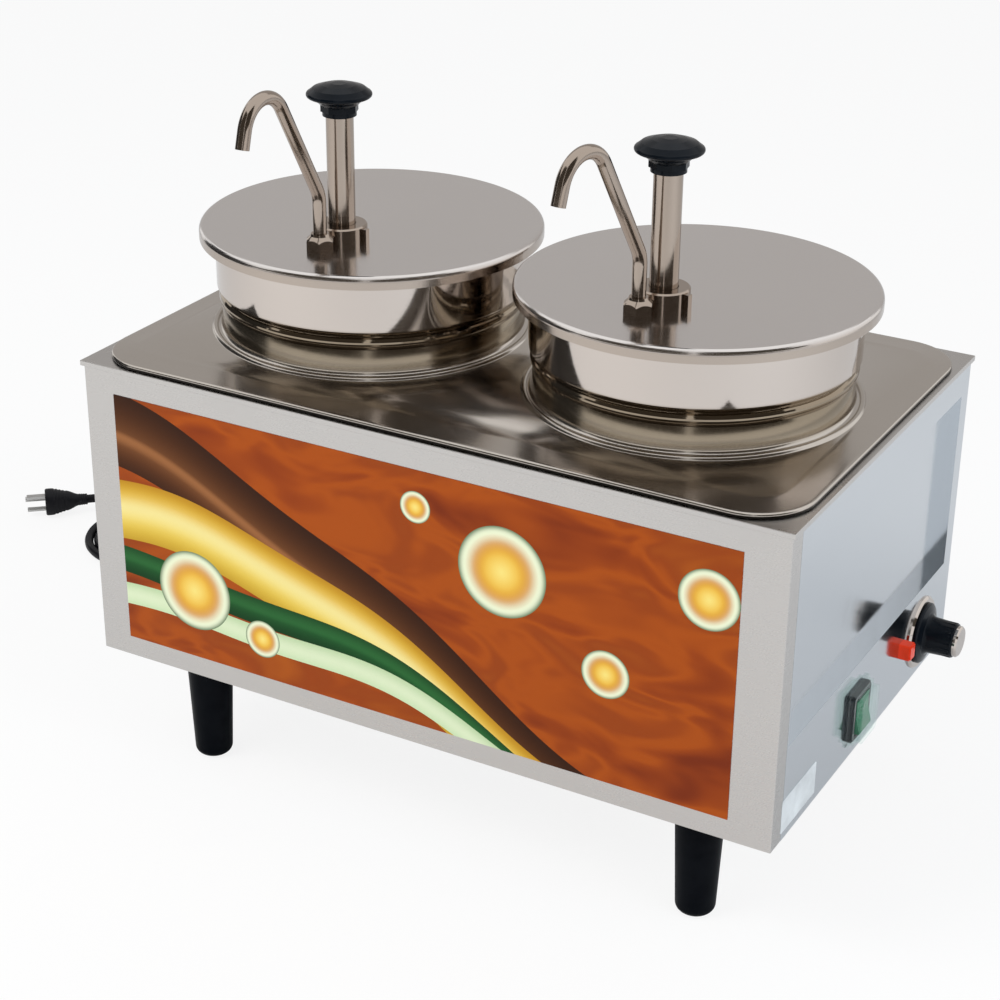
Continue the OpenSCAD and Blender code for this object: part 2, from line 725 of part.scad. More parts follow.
module adapter_plate() {
    ring_h = 2.4;
    foot = 3.2;             // radius of the fillet at the collar's foot
    color("lightgray") placed() difference() {
        union() {
            translate([0, 0, plate_z]) difference() {
                plate_form(0, 0);
                translate([0, 0, -2 * eps]) plate_form(plate_t, plate_t);
            }
            for (s = [-1, 1]) inset_place(s) rotate_extrude() polygon(concat(
                [[collar_in - 1, field_z - plate_t], [ring_r, field_z - plate_t]],
                arc(ring_r - ring_h, field_z, ring_h, 0, 135, 7),
                arc(collar_out + foot, field_z + foot + 0.8, foot, 270, 180, 5),
                [[collar_out, collar_top - 0.5], [collar_out - 0.5, collar_top], [collar_in - 1, collar_top]]));
        }
        for (s = [-1, 1]) inset_place(s) translate([0, 0, plate_z - 1])
            cylinder(r = collar_in, h = collar_top - plate_z + 2, $fn = 128);
    }
}

// Insets

module inset(s) {
    corner = 14;
    t = inset_t;
    neck_z = step_z + bead_h;
    bead_r = 4.5;
    bead_in = band_r - 1.3 - bead_r;    // the bead stays a little inside the band
    bead_z = step_z + 4.2;
    roll = 2.2;
    outer = concat([[0, inset_z]],
        arc(inset_r - corner, inset_z + corner, corner, -90, 0, 6),
        [[inset_r, step_z], [collar_out + 0.5, step_z]],
        arc(bead_in, bead_z, bead_r, -35, 60, 6),
        [[band_r - 3.3, neck_z - 2.7], [band_r - 2, neck_z - 1], [band_r - 0.5, neck_z], [band_r, neck_z + 1],
            [band_r, rim_z - 6]],
        arc(rim_r - roll, rim_z - roll, roll, -90, 90, 8));
    inner = concat(
        arc(band_r + 2, rim_z - 3 - t, 3, 90, 180, 5),
        [[band_r - t, neck_z + 1.4], [band_r - t - 2.3, neck_z - 0.4], [band_r - t - 3.3, neck_z - 3.2]],
        reversed(arc(bead_in, bead_z, bead_r - t - 0.1, -35, 45, 5)),
        [[collar_out - 0.5, step_z + t + 0.1], [inset_r - t, step_z + t + 0.1]],
        reversed(arc(inset_r - corner, inset_z + corner, corner - t, -90, 0, 6)),
        [[0, inset_z + t]]);
    color("silver") placed() inset_place(s) rotate_extrude($fn = 128) polygon(concat(outer, inner));
}

// Lids

lid_hole_clear = 0.2;
module lid(s) {
    r = lid_round;
    t = lid_t;
    color("darkgray") placed() difference() {
        inset_place(s) rotate_extrude($fn = 128) polygon(concat(
            [[0, lid_under], [lid_r - r, lid_under]],
            reversed(arc(lid_r - r, lid_z - r, r - t, 0, 90, 6)),
            [[lid_r - t, lid_z - lid_rim_h], [lid_r, lid_z - lid_rim_h]],
            arc(lid_r - r, lid_z - r, r, 0, 90, 8),
            [[0, lid_z]]));
        pump_place(s) {
            translate([0, 0, lid_under - 1]) cylinder(r = cyl_r + lid_hole_clear, h = lid_t + 2);
            translate([0, -riser_u, lid_under - 1]) cylinder(r = spout_r + lid_hole_clear, h = lid_t + 2);
        }
    }
}

// Pumps

flange_h = 2;
flange_r = cyl_r + 1.8;
module pump_cylinder(s) {
    color("silver") placed() pump_place(s) difference() {
        union() {
            translate([0, 0, cyl_z]) cylinder(r = cyl_r, h = lid_z + lock_h - 3 - cyl_z);
            translate([0, 0, lid_under - flange_h]) cylinder(r = flange_r, h = flange_h);
        }
        translate([0, 0, cyl_z - 1]) cylinder(r = cyl_in, h = lid_z + lock_h - cyl_z);
    }
}

module lock_collar(s) {
    color("silver") placed() pump_place(s) difference() {
        union() {
            translate([0, 0, lid_z]) rotate_extrude()
                polygon([[0, 0], [lock_r, 0], [lock_r, lock_h - 1], [lock_r - 1, lock_h], [0, lock_h]]);
            translate([lock_r - 3, -2, lid_z]) cube([6.5, 4, lock_h - 1.5]);
        }
        translate([0, 0, lid_z - 1]) cylinder(r = cyl_r, h = lock_h - 2);
        translate([0, 0, lid_z]) cylinder(r = plunger_r + gap, h = lock_h + 1);
    }
}

nut_r = 10.4;
spout_nut_h = 11;
module spout_nut(s) {
    color("silver") placed() pump_place(s) translate([0, -riser_u, lid_z]) difference() {
        intersection() {
            cylinder(r = nut_r, h = spout_nut_h, $fn = 6);
            rotate_extrude() polygon([[0, 0], [nut_r, 0], [nut_r, spout_nut_h - 5], [nut_r - 1.6, spout_nut_h - 3.4],
                [nut_r - 3.6, spout_nut_h - 1.6], [nut_r - 4.2, spout_nut_h], [0, spout_nut_h]]);
        }
        translate([0, 0, -1]) cylinder(r = spout_r, h = spout_nut_h + 2);
    }
}

// The discharge tube's centre line: rise, bend forward, slant, arch over, outlet. It runs past both ends.
riser_z = valve_z + 5;
function spout_line(past) =
    let (bend_z = lid_z + spout_bend_z - spout_foot_r * tan(spout_slant / 2),
        foot_u = riser_u + spout_foot_r * (1 - cos(spout_slant)),
        arch_u = foot_u + spout_run * sin(spout_slant) + spout_arch_r * cos(spout_slant),
        arch_z = bend_z + (spout_foot_r - spout_arch_r) * sin(spout_slant) + spout_run * cos(spout_slant),
        mouth_u = arch_u + spout_arch_r * cos(spout_lean),
        mouth_z = arch_z + spout_arch_r * sin(spout_lean),
        out = spout_out + past)
    concat([[0, -riser_u, riser_z - past]],
        [for (a = [0:spout_slant / 4:spout_slant])
            [0, -riser_u - spout_foot_r * (1 - cos(a)), bend_z + spout_foot_r * sin(a)]],
        [for (i = [0:12]) let (a = spout_slant + i * (180 - spout_slant - spout_lean) / 12)
            [0, -arch_u + spout_arch_r * cos(a), arch_z + spout_arch_r * sin(a)]],
        [[0, -mouth_u - out * sin(spout_lean), mouth_z - out * cos(spout_lean)]]);

module discharge_tube(s) {
    outer = spout_line(0);
    inner = spout_line(1);
    color("silver") placed() pump_place(s) difference() {
        sweep([for (i = [0:len(outer) - 1]) tube_ring(outer, i, spout_r, 20, [1, 0, 0])]);
        sweep([for (i = [0:len(inner) - 1]) tube_ring(inner, i, spout_r - spout_t, 16, [1, 0, 0])]);
    }
}

module pump_valve(s) {
    foot_h = valve_h - 6;
    color("silver") placed() pump_place(s) translate([0, 0, valve_z]) difference() {
        union() {
            cylinder(r = cyl_r, h = valve_h);
            translate([0, 0, 3]) cylinder(r = cyl_r + 2, h = foot_h);
            translate([-7, -riser_u, 3]) cube([14, riser_u, foot_h]);
            translate([0, -riser_u, 3]) cylinder(r = 7, h = foot_h);
        }
        translate([0, 0, 8]) cylinder(r = cyl_in, h = valve_h);
        translate([0, 0, -1]) cylinder(r = 5, h = valve_h);
        translate([0, -riser_u, riser_z - valve_z]) cylinder(r = spout_r, h = valve_h);
        translate([0, 0, riser_z - valve_z + 3]) rotate([90, 0, 0]) cylinder(r = 2, h = riser_u);
        for (a = [0, 90]) rotate([0, 0, a]) translate([0, 0, 1]) cube([2 * cyl_r + 6, 8, 2.2], center = true);
    }
}

spring_r = cyl_in - 2.6;
spring_wire = 0.9;
spring_turns = 9;
spring_low = valve_z + 8 + spring_wire + 0.1;
spring_high = seal_floor - spring_wire - 0.1;
function spring_ring(turn) =
    let (a = 360 * turn, z = spring_low + (spring_high - spring_low) * turn / spring_turns)
    [for (k = [0:4]) let (b = 72 * k, r = spring_r + spring_wire * cos(b))
        [r * cos(a), r * sin(a), z + spring_wire * sin(b)]];
module pump_spring(s) {
    steps = 12;
    color("gray") placed() pump_place(s) sweep([for (i = [0:spring_turns * steps]) spring_ring(i / steps)]);
}

// Closes a run of rings, each a list of as many points, into one tube.
module sweep(rings) {
    n = len(rings[0]);
    last = len(rings) - 1;
    polyhedron(
        points = [for (ring = rings) each ring],
        faces = concat([[for (k = [0:n - 1]) k]], [[for (k = [n - 1:-1:0]) last * n + k]],
            [for (i = [0:last - 1], k = [0:n - 1]) let (m = (k + 1) % n)
                each [[i * n + k, (i + 1) * n + m, i * n + m], [i * n + k, (i + 1) * n + k, (i + 1) * n + m]]]));
}

module plunger_tube(s) {
    z = piston_z - piston_h + 1;
    color("silver") placed() pump_place(s) translate([0, 0, z]) difference() {
        cylinder(r = plunger_r, h = knob_bottom + 10 - z);
        translate([0, 0, -1]) cylinder(r = plunger_r - plunger_t, h = knob_bottom - z);
    }
}

module piston(s) {
    color("white") placed() pump_place(s) translate([0, 0, piston_z - piston_h]) difference() {
        cylinder(r = cyl_in - gap, h = piston_h);
        translate([0, 0, 1]) cylinder(r = plunger_r, h = piston_h);
        for (z = [0.34, 0.74] * piston_h) translate([0, 0, z]) rotate_extrude()
            translate([cyl_in - gap - 0.6, -0.5]) square([2, 1]);
    }
}

module piston_seal(s) {
    r = cyl_in - gap;
    color("darkslategray") placed() pump_place(s) translate([0, 0, seal_floor])
        rotate_extrude() polygon([[0, 2.5], [r - 3, 2.5], [r - 1.6, 0], [r, 0], [r, seal_h], [0, seal_h]]);
}

module pump_knob(s) {
    neck = plunger_r + 3.6;
    edge_z = knob_neck_h + knob_cone_h;
    color([0.07, 0.09, 0.12]) placed() pump_place(s) translate([0, 0, knob_bottom]) difference() {
        union() {
            cylinder(r = neck - 1.4, h = 4);
            translate([0, 0, 3]) cylinder(r = neck, h = knob_neck_h - 2, $fn = 8);
            rotate_extrude() polygon(concat(
                [[0, knob_neck_h - 3], [neck - 1, knob_neck_h - 3], [neck + 2, knob_neck_h],
                    [knob_r - 3, edge_z - 2.6]],
                arc(knob_r - 1.8, edge_z - 0.6, 1.8, -60, 70, 6),
                [[knob_r * 0.8, edge_z + knob_dome_h * 0.55], [knob_r * 0.5, edge_z + knob_dome_h * 0.86],
                    [knob_r * 0.22, edge_z + knob_dome_h], [0, edge_z + knob_dome_h]]));
        }
        translate([0, 0, -1]) cylinder(r = plunger_r, h = 11);
    }
}

// Cord

relief_neck = 7;
relief_out = back + relief_len;
module strain_relief() {
    color([0.1, 0.1, 0.1]) placed() translate([-outlet_x, back, leg_h + outlet_z]) rotate([-90, 0, 0]) difference() {
        rotate_extrude() polygon([[0, -sheet_t - 5], [relief_neck - gap + 1.6, -sheet_t - 5],
            [relief_neck - gap + 1.6, -sheet_t - gap], [relief_neck - gap, -sheet_t - gap], [relief_neck - gap, 0],
            [relief_neck + 3, 0], [relief_neck + 3, 3],
            [relief_neck, 4], [cord_r + 1.2, relief_len], [0, relief_len]]);
        translate([0, 0, -sheet_t - 6]) cylinder(r = cord_r - 0.6, h = sheet_t + 2 + relief_len - 6, $fn = 32);
    }
}

// The route of the cord from the strain relief to the coil, and from the coil to the plug. The first two
// numbers are taken from the strain relief's end, the third is the share of the outlet's height.
function laid(route) =
    [for (p = route) [p[0] - outlet_x, p[1] + relief_out, cord_r + p[2] * (leg_h + outlet_z - cord_r)]];
route_to_coil = laid([[0, 0, 1], [0, 5.5, 1], [0, 13.5, 0.991], [-1, 26.5, 0.953], [-2, 39.5, 0.862],
    [-4, 48.5, 0.733], [-6, 53.5, 0.569], [-9, 55.5, 0.397], [-14, 57.5, 0.233], [-23, 59.5, 0.103],
    [-38, 60.5, 0.022], [-58, 60.5, 0], [-78, 57.5, 0], [-98, 52.5, 0], [-118, 45.5, 0], [-138, 37.5, 0],
    [-158, 27.5, 0], [-178, 18.5, 0], [-196, 11.5, 0], [-214, 6, 0], [-232, 2, 0], [-250, -0.5, 0], [-267, -2, 0]]);
plug_at = [-outlet_x - 346, relief_out - 39.5, plug_r];
route_to_plug = [for (p = [[66, 24, -0.5], [52, 20.5, -0.9], [38, 17, -0.7], [25, 13.5, -0.2], [14.5, 9.5, 0],
    [6.5, 5.65, 0], [0, 0, 0]]) plug_at + p];
coil_at = [-outlet_x - 257, relief_out - 59.5];
coil_r = 46.2;
coil_turns_across = 4;
coil_turns_high = 2;
coil_pitch = 2 * cord_r + 0.1;
plug_turn = 41;

function unit(v) = v / norm(v);
function tangent(path, i) =
    let (last = len(path) - 1, a = max(i - 1, 0), b = min(i, last - 1))
    unit(unit(path[a + 1] - path[a]) + unit(path[b + 1] - path[b]));
function tube_ring(path, i, r, sides, up = [0.02, 0.1, 1]) =
    let (t = tangent(path, i), u = unit(cross(up, t)), v = cross(t, u))
    [for (k = [0:sides - 1]) path[i] + r * (cos(360 * k / sides) * u + sin(360 * k / sides) * v)];

module cord_tube() {
    color([0.12, 0.12, 0.12]) placed() for (path = [route_to_coil, route_to_plug])
        sweep([for (i = [0:len(path) - 1]) tube_ring(path, i, cord_r - 0.05, 10)]);
}

module cord_coil() {
    w = coil_turns_across * coil_pitch;
    h = coil_turns_high * coil_pitch;
    color([0.12, 0.12, 0.12]) placed() translate(coil_at) rotate_extrude($fn = 64)
        translate([coil_r, h / 2]) round_rect(w, h, cord_r);
}

module cord_tie() {
    w = coil_turns_across * coil_pitch;
    h = coil_turns_high * coil_pitch;
    color([0.05, 0.05, 0.05]) placed() translate(coil_at) rotate([0, 0, -60]) translate([coil_r, 0, 0])
        rotate([90, 0, 0]) linear_extrude(6, center = true) difference() {
            translate([-w / 2 - 0.8, 0]) square([w + 1.6, h + 0.9]);
            translate([0, h / 2]) round_rect(w, h, cord_r);
            translate([-w / 2, -eps]) square([w, h / 2]);
        }
}

module plug_frame() {
    translate(plug_at) rotate([0, 0, plug_turn]) rotate([0, -90, 0]) children();
}

module plug_body() {
    color([0.1, 0.1, 0.1]) placed() plug_frame() {
        rotate_extrude() polygon([[0, 0], [cord_r + 1, 0], [cord_r + 1.6, 10], [8.5, 18], [0, 18]]);
        hull() {
            translate([0, 0, 16]) cylinder(r = 8.5, h = 1, $fn = 32);
            translate([0, 0, 24]) cylinder(r = plug_r, h = 14, $fn = 32);
        }
    }
}

module plug_prongs() {
    color("silver") placed() plug_frame() translate([0, 0, 38]) {
        for (z = [-6.35, 6.35]) translate([z - 0.8, -3.2, 0]) cube([1.6, 6.4, 16.5]);
        translate([0, 9, 0]) cylinder(r = 2.4, h = 18, $fn = 24);
    }
}

body_shell();
front_panel();
front_graphic();
top_frame();
well_pan();
insulation();
heating_element();
element_clamps();
bottom_cover();
leg(-1, -1);  // leg_front_left
leg(1, -1);  // leg_front_right
leg(-1, 1);  // leg_back_left
leg(1, 1);  // leg_back_right
leg_studs();
leg_nuts();
cover_screws();
thermostat_body();
sensing_bulb();
dial_bezel();
switch_housing();
switch_boot();
indicator_lamp();
terminal_block();
wiring();
strain_relief();
cord_tube();
cord_coil();
cord_tie();
plug_body();
plug_prongs();
control_knob();
knob_cap();
thermostat_shaft();
switch_rocker();
adapter_plate();
inset(-1);  // inset_left
inset(1);  // inset_right
lid(-1);  // lid_left
lid(1);  // lid_right
pump_cylinder(-1);  // pump_cylinder_left
pump_cylinder(1);  // pump_cylinder_right
lock_collar(-1);  // lock_collar_left
lock_collar(1);  // lock_collar_right
spout_nut(-1);  // spout_nut_left
spout_nut(1);  // spout_nut_right
discharge_tube(-1);  // discharge_tube_left
discharge_tube(1);  // discharge_tube_right
pump_valve(-1);  // pump_valve_left
pump_valve(1);  // pump_valve_right
pump_spring(-1);  // pump_spring_left
pump_spring(1);  // pump_spring_right
plunger_tube(-1);  // plunger_tube_left
plunger_tube(1);  // plunger_tube_right
pump_knob(-1);  // pump_knob_left
pump_knob(1);  // pump_knob_right
piston(-1);  // piston_left
piston(1);  // piston_right
piston_seal(-1);  // piston_seal_left
piston_seal(1);  // piston_seal_right
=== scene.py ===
"""Looks of a countertop topping warmer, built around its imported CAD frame.

Lengths are metres, or millimetres where a name or a comment says so.
"""

import math

import bmesh
import bpy
from mathutils import Matrix, Vector


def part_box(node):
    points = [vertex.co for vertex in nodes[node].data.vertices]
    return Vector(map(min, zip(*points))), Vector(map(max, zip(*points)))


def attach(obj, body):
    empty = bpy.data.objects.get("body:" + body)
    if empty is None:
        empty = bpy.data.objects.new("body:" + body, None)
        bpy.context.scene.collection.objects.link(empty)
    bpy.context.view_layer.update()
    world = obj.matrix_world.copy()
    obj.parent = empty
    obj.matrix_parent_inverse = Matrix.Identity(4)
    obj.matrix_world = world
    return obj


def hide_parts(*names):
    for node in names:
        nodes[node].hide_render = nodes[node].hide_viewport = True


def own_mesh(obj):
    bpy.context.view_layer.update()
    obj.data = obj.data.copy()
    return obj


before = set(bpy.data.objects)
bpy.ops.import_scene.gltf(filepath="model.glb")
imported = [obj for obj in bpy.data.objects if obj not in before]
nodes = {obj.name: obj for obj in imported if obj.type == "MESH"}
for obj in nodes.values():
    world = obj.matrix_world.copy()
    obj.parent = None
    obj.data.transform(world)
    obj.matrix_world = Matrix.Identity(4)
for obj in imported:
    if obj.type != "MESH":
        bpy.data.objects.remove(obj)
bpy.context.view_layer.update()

MM = 0.001
scene = bpy.context.scene

shell_lo, shell_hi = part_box("body_shell")
CABINET_BACK = 0.1625
SHIFT = Vector(((shell_lo.x + shell_hi.x) / 2, shell_hi.y - CABINET_BACK, 0.0))
SIDE = (shell_hi.x - shell_lo.x) / 2 / MM      # half the cabinet's width, in mm


def at(x, y, z):
    """The point x, y, z millimetres from the cabinet's middle at the counter."""
    return SHIFT + Vector((x, y, z)) * MM


# Camera

AZIMUTH, ELEVATION, ROLL = math.radians(29.176), math.radians(25.668), math.radians(0.565)
DISTANCE = 1.62134
LOOKS_AT = at(-23.69, 0, 202.03)


def make_camera():
    flat = math.cos(ELEVATION)
    back = Vector((math.sin(AZIMUTH) * flat, -math.cos(AZIMUTH) * flat, math.sin(ELEVATION)))
    level = Vector((math.cos(AZIMUTH), math.sin(AZIMUTH), 0))
    rise = back.cross(level)
    right = level * math.cos(ROLL) + rise * math.sin(ROLL)
    up = rise * math.cos(ROLL) - level * math.sin(ROLL)
    data = bpy.data.cameras.new("camera")
    data.lens, data.sensor_width = 79.96, 36
    data.clip_start, data.clip_end = 0.05, 50
    cam = bpy.data.objects.new("camera", data)
    scene.collection.objects.link(cam)
    turn = Matrix((right, up, back)).transposed().to_4x4()
    cam.matrix_world = Matrix.Translation(LOOKS_AT + back * DISTANCE) @ turn
    scene.camera = cam


make_camera()


# Mesh tools

def new_object(name, mesh):
    obj = bpy.data.objects.new(name, mesh)
    scene.collection.objects.link(obj)
    return obj


def from_bmesh(name, bm, smooth=True, sharp=math.radians(38)):
    """Turns bm into an object, shaded smooth except across sharp edges."""
    bmesh.ops.remove_doubles(bm, verts=bm.verts, dist=1e-7)
    bmesh.ops.recalc_face_normals(bm, faces=bm.faces)
    for face in bm.faces:
        face.smooth = smooth
    for edge in bm.edges:
        if len(edge.link_faces) == 2 and edge.calc_face_angle(0) > sharp:
            edge.smooth = False
    mesh = bpy.data.meshes.new(name)
    bm.to_mesh(mesh)
    bm.free()
    return new_object(name, mesh)


def loft(bm, rings, cap_start=True, cap_end=True, closed=False):
    """Joins rings of as many points each by a skin of quads."""
    rows = [[bm.verts.new(p) for p in ring] for ring in rings]
    count = len(rows[0])
    pairs = list(zip(rows, rows[1:])) + ([(rows[-1], rows[0])] if closed else [])
    for a, b in pairs:
        for k in range(count):
            m = (k + 1) % count
            bm.faces.new((a[k], a[m], b[m], b[k]))
    if cap_start and not closed:
        bm.faces.new(rows[0][::-1])
    if cap_end and not closed:
        bm.faces.new(rows[-1])
    return rows


def circle(radius, count):
    turns = [2 * math.pi * k / count for k in range(count)]
    return [(radius * math.cos(a), radius * math.sin(a)) for a in turns]


def arc(cx, cy, r, start, end, steps=8):
    """Points of an arc from one angle to another, in degrees."""
    return [(cx + r * math.cos(math.radians(start + (end - start) * i / steps)),
             cy + r * math.sin(math.radians(start + (end - start) * i / steps))) for i in range(steps + 1)]


def smooth_line(points, per_span):
    """A Catmull-Rom curve through the points."""
    pts = [Vector(p) for p in points]
    out = []
    for i in range(len(pts) - 1):
        a, b, c, d = pts[max(i - 1, 0)], pts[i], pts[i + 1], pts[min(i + 2, len(pts) - 1)]
        for j in range(per_span):
            t = j / per_span
            bend = (2 * a - 5 * b + 4 * c - d) * t * t + (3 * b - 3 * c + d - a) * t ** 3
            out.append(0.5 * (2 * b + (c - a) * t + bend))
    out.append(pts[-1])
    return out


# Cord: the route repeats the CAD source's points, in mm from the cabinet's middle.

CORD_R = 4.0
TO_COIL = [(-200, 192.5, 120), (-200, 198, 120), (-200, 206, 119), (-201, 219, 114.5), (-202, 232, 104),
           (-204, 241, 89), (-206, 246, 70), (-209, 248, 50), (-214, 250, 31), (-223, 252, 16),
           (-238, 253, 6.5), (-258, 253, 4),
           (-278, 250, 4), (-298, 245, 4), (-318, 238, 4), (-338, 230, 4), (-358, 220, 4), (-378, 211, 4),
           (-396, 204, 4), (-414, 198.5, 4), (-432, 194.5, 4), (-450, 192, 4), (-467, 190.5, 4)]
TO_PLUG = [(-480, 177, 12), (-494, 173.5, 11.6), (-508, 170, 11.8), (-521, 166.5, 12.3), (-531.5, 162.5, 12.5),
           (-539.5, 158.65, 12.5), (-546, 153, 12.5)]
COIL_AT = (-457, 133)
COIL_INNER = 34.0       # radius of the innermost turn's centre line
COIL_STEP = 8.1         # height of the upper turns above the lower ones
COIL_TURNS, LOW_TURNS, CLIMB = 5, 3.0, 0.3      # turns in all, on the counter, and of the climb between
PLUG_AT, PLUG_TURN = (-546, 153, 12.5), math.radians(41)


def coil_points():
    """Three turns inwards on the counter, then two turns outwards on top of them."""
    def polar(p):
        x, y = p[0] - COIL_AT[0], p[1] - COIL_AT[1]
        return math.hypot(x, y), math.atan2(y, x)
    r_in, a_in = polar(TO_COIL[-1])
    r_out, a_out = polar(TO_PLUG[0])
    turns = COIL_TURNS + (a_out - a_in) / (2 * math.pi)
    count = int(turns * 24)
    points = []
    for i in range(1, count):
        t = turns * i / count
        if t <= LOW_TURNS:
            r = r_in + (COIL_INNER - r_in) * t / LOW_TURNS
        else:
            upper = LOW_TURNS + CLIMB
            r = COIL_INNER + (r_out - COIL_INNER) * max(0.0, t - upper) / (turns - upper)
        s = min(1.0, max(0.0, (t - LOW_TURNS) / CLIMB))
        a = a_in + 2 * math.pi * t
        points.append((COIL_AT[0] + r * math.cos(a), COIL_AT[1] + r * math.sin(a),
                       CORD_R + COIL_STEP * (3 * s * s - 2 * s ** 3)))
    return points


def make_cord():
    """A round tube along the whole route, with a frame carried from ring to ring so that it never twists."""
    line = [at(*p) for p in smooth_line(TO_COIL + coil_points() + TO_PLUG, 4)]
    bm = bmesh.new()
    rings = []
    across = Vector((1, 0, 0))
    for i, p in enumerate(line):
        along = (line[min(i + 1, len(line) - 1)] - line[max(i - 1, 0)]).normalized()
        across = (across - along * across.dot(along)).normalized()
        other = along.cross(across)
        rings.append([p + (across * x + other * y) * MM for x, y in circle(CORD_R - 0.1, 12)])
    loft(bm, rings)
    length = sum((b - a).length for a, b in zip(line, line[1:]))
    return from_bmesh("cord", bm), line, length


cord, cord_line, cord_length = make_cord()


def plug_place():
    """Z runs along the plug to its prongs, as in the CAD source."""
    turn = Matrix.Rotation(PLUG_TURN, 4, "Z") @ Matrix.Rotation(-math.pi / 2, 4, "Y")
    return Matrix.Translation(at(*PLUG_AT)) @ turn


# The plug's sections: height above the cord's end, two half widths, and the power of the rounded outline
PLUG_SECTIONS = [(0, 4.9, 4.9, 2), (0.4, 5.1, 5.1, 2), (9.5, 5.6, 5.6, 2), (10.5, 5.9, 5.9, 2.1),
                 (13, 7.0, 6.6, 2.3), (16, 8.2, 7.4, 2.6), (19, 9.0, 8.0, 2.7), (24, 10.2, 9.0, 2.7),
                 (28, 11.4, 10.3, 2.5), (31, 12.1, 11.6, 2.2), (33, 12.4, 12.3, 2), (36.6, 12.4, 12.4, 2),
                 (37.6, 12.0, 12.0, 2), (38, 11.2, 11.2, 2)]
# Ribs of the cord boot and of the grip: first and last height, pitch and depth
PLUG_RIBS = [(1, 9, 2, 0.35), (18.5, 30.5, 3, 0.5)]


def plug_section(z):
    for a, b in zip(PLUG_SECTIONS, PLUG_SECTIONS[1:]):
        if z <= b[0]:
            f = (z - a[0]) / (b[0] - a[0])
            return [a[i] + (b[i] - a[i]) * f for i in range(1, 4)]
    return PLUG_SECTIONS[-1][1:]


def make_plug():
    """A moulded three-prong plug: a ribbed cord boot, a waisted grip with finger ridges and a round face."""
    place = plug_place()
    bm = bmesh.new()
    rings = []
    heights = {section[0] for section in PLUG_SECTIONS}
    heights |= {1 + 0.5 * i for i in range(17)} | {18 + 0.5 * i for i in range(27)}
    for z in sorted(heights):
        rx, ry, power = plug_section(z)
        groove = 0.0
        for start, end, pitch, depth in PLUG_RIBS:
            if start < z < end:
                groove = depth * (0.5 - 0.5 * math.cos(2 * math.pi * (z - start) / pitch))
        ring = []
        for k in range(40):
            a = 2 * math.pi * k / 40
            c, s = math.cos(a), math.sin(a)
            x = (rx - groove) * math.copysign(abs(c) ** (2 / power), c)
            y = (ry - groove) * math.copysign(abs(s) ** (2 / power), s)
            ring.append(place @ (Vector((x, y, z)) * MM))
        rings.append(ring)
    loft(bm, rings)
    return from_bmesh("plug_grip", bm)


plug = make_plug()


def make_tie():
    """A black hook-and-loop strap around one side of the coil."""
    wide, high, thick = 16.6, 8.5, 0.45     # half widths of the loop, and the strap's thickness
    half, coil_r, middle = 2.9, 46.2, 8.15  # half the strap's width, and the middle of the coil's section
    floor = 0.05 - middle                   # the loop's lowest height, just above the counter
    turn = math.radians(-60)
    centre = at(COIL_AT[0] + coil_r * math.cos(turn), COIL_AT[1] + coil_r * math.sin(turn), middle)
    out = Vector((math.cos(turn), math.sin(turn), 0))
    along = Vector((-math.sin(turn), math.cos(turn), 0))
    bm = bmesh.new()
    rings = []
    for k in range(48):
        a = 2 * math.pi * k / 48
        c, s = math.cos(a), math.sin(a)
        outer = Vector((wide * math.copysign(abs(c) ** 0.5, c), max(high * math.copysign(abs(s) ** 0.5, s), floor)))
        inwards = -Vector((math.copysign(abs(c) ** 1.5, c), math.copysign(abs(s) ** 1.5, s))).normalized()
        inner = outer + inwards * thick
        rings.append([centre + (out * u.x + Vector((0, 0, u.y)) + along * v) * MM
                      for u, v in ((outer, -half), (outer, half), (inner, half), (inner, -half))])
    loft(bm, rings, closed=True)
    return from_bmesh("cord_strap", bm)


strap = make_tie()

for piece, slot_name, replaced in ((cord, "black_rubber", ("cord_tube", "cord_coil")),
                                   (plug, "black_rubber", ("plug_body",)),
                                   (strap, "black_plastic", ("cord_tie",))):
    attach(piece, "cabinet")
    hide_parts(*replaced)


# Material tools

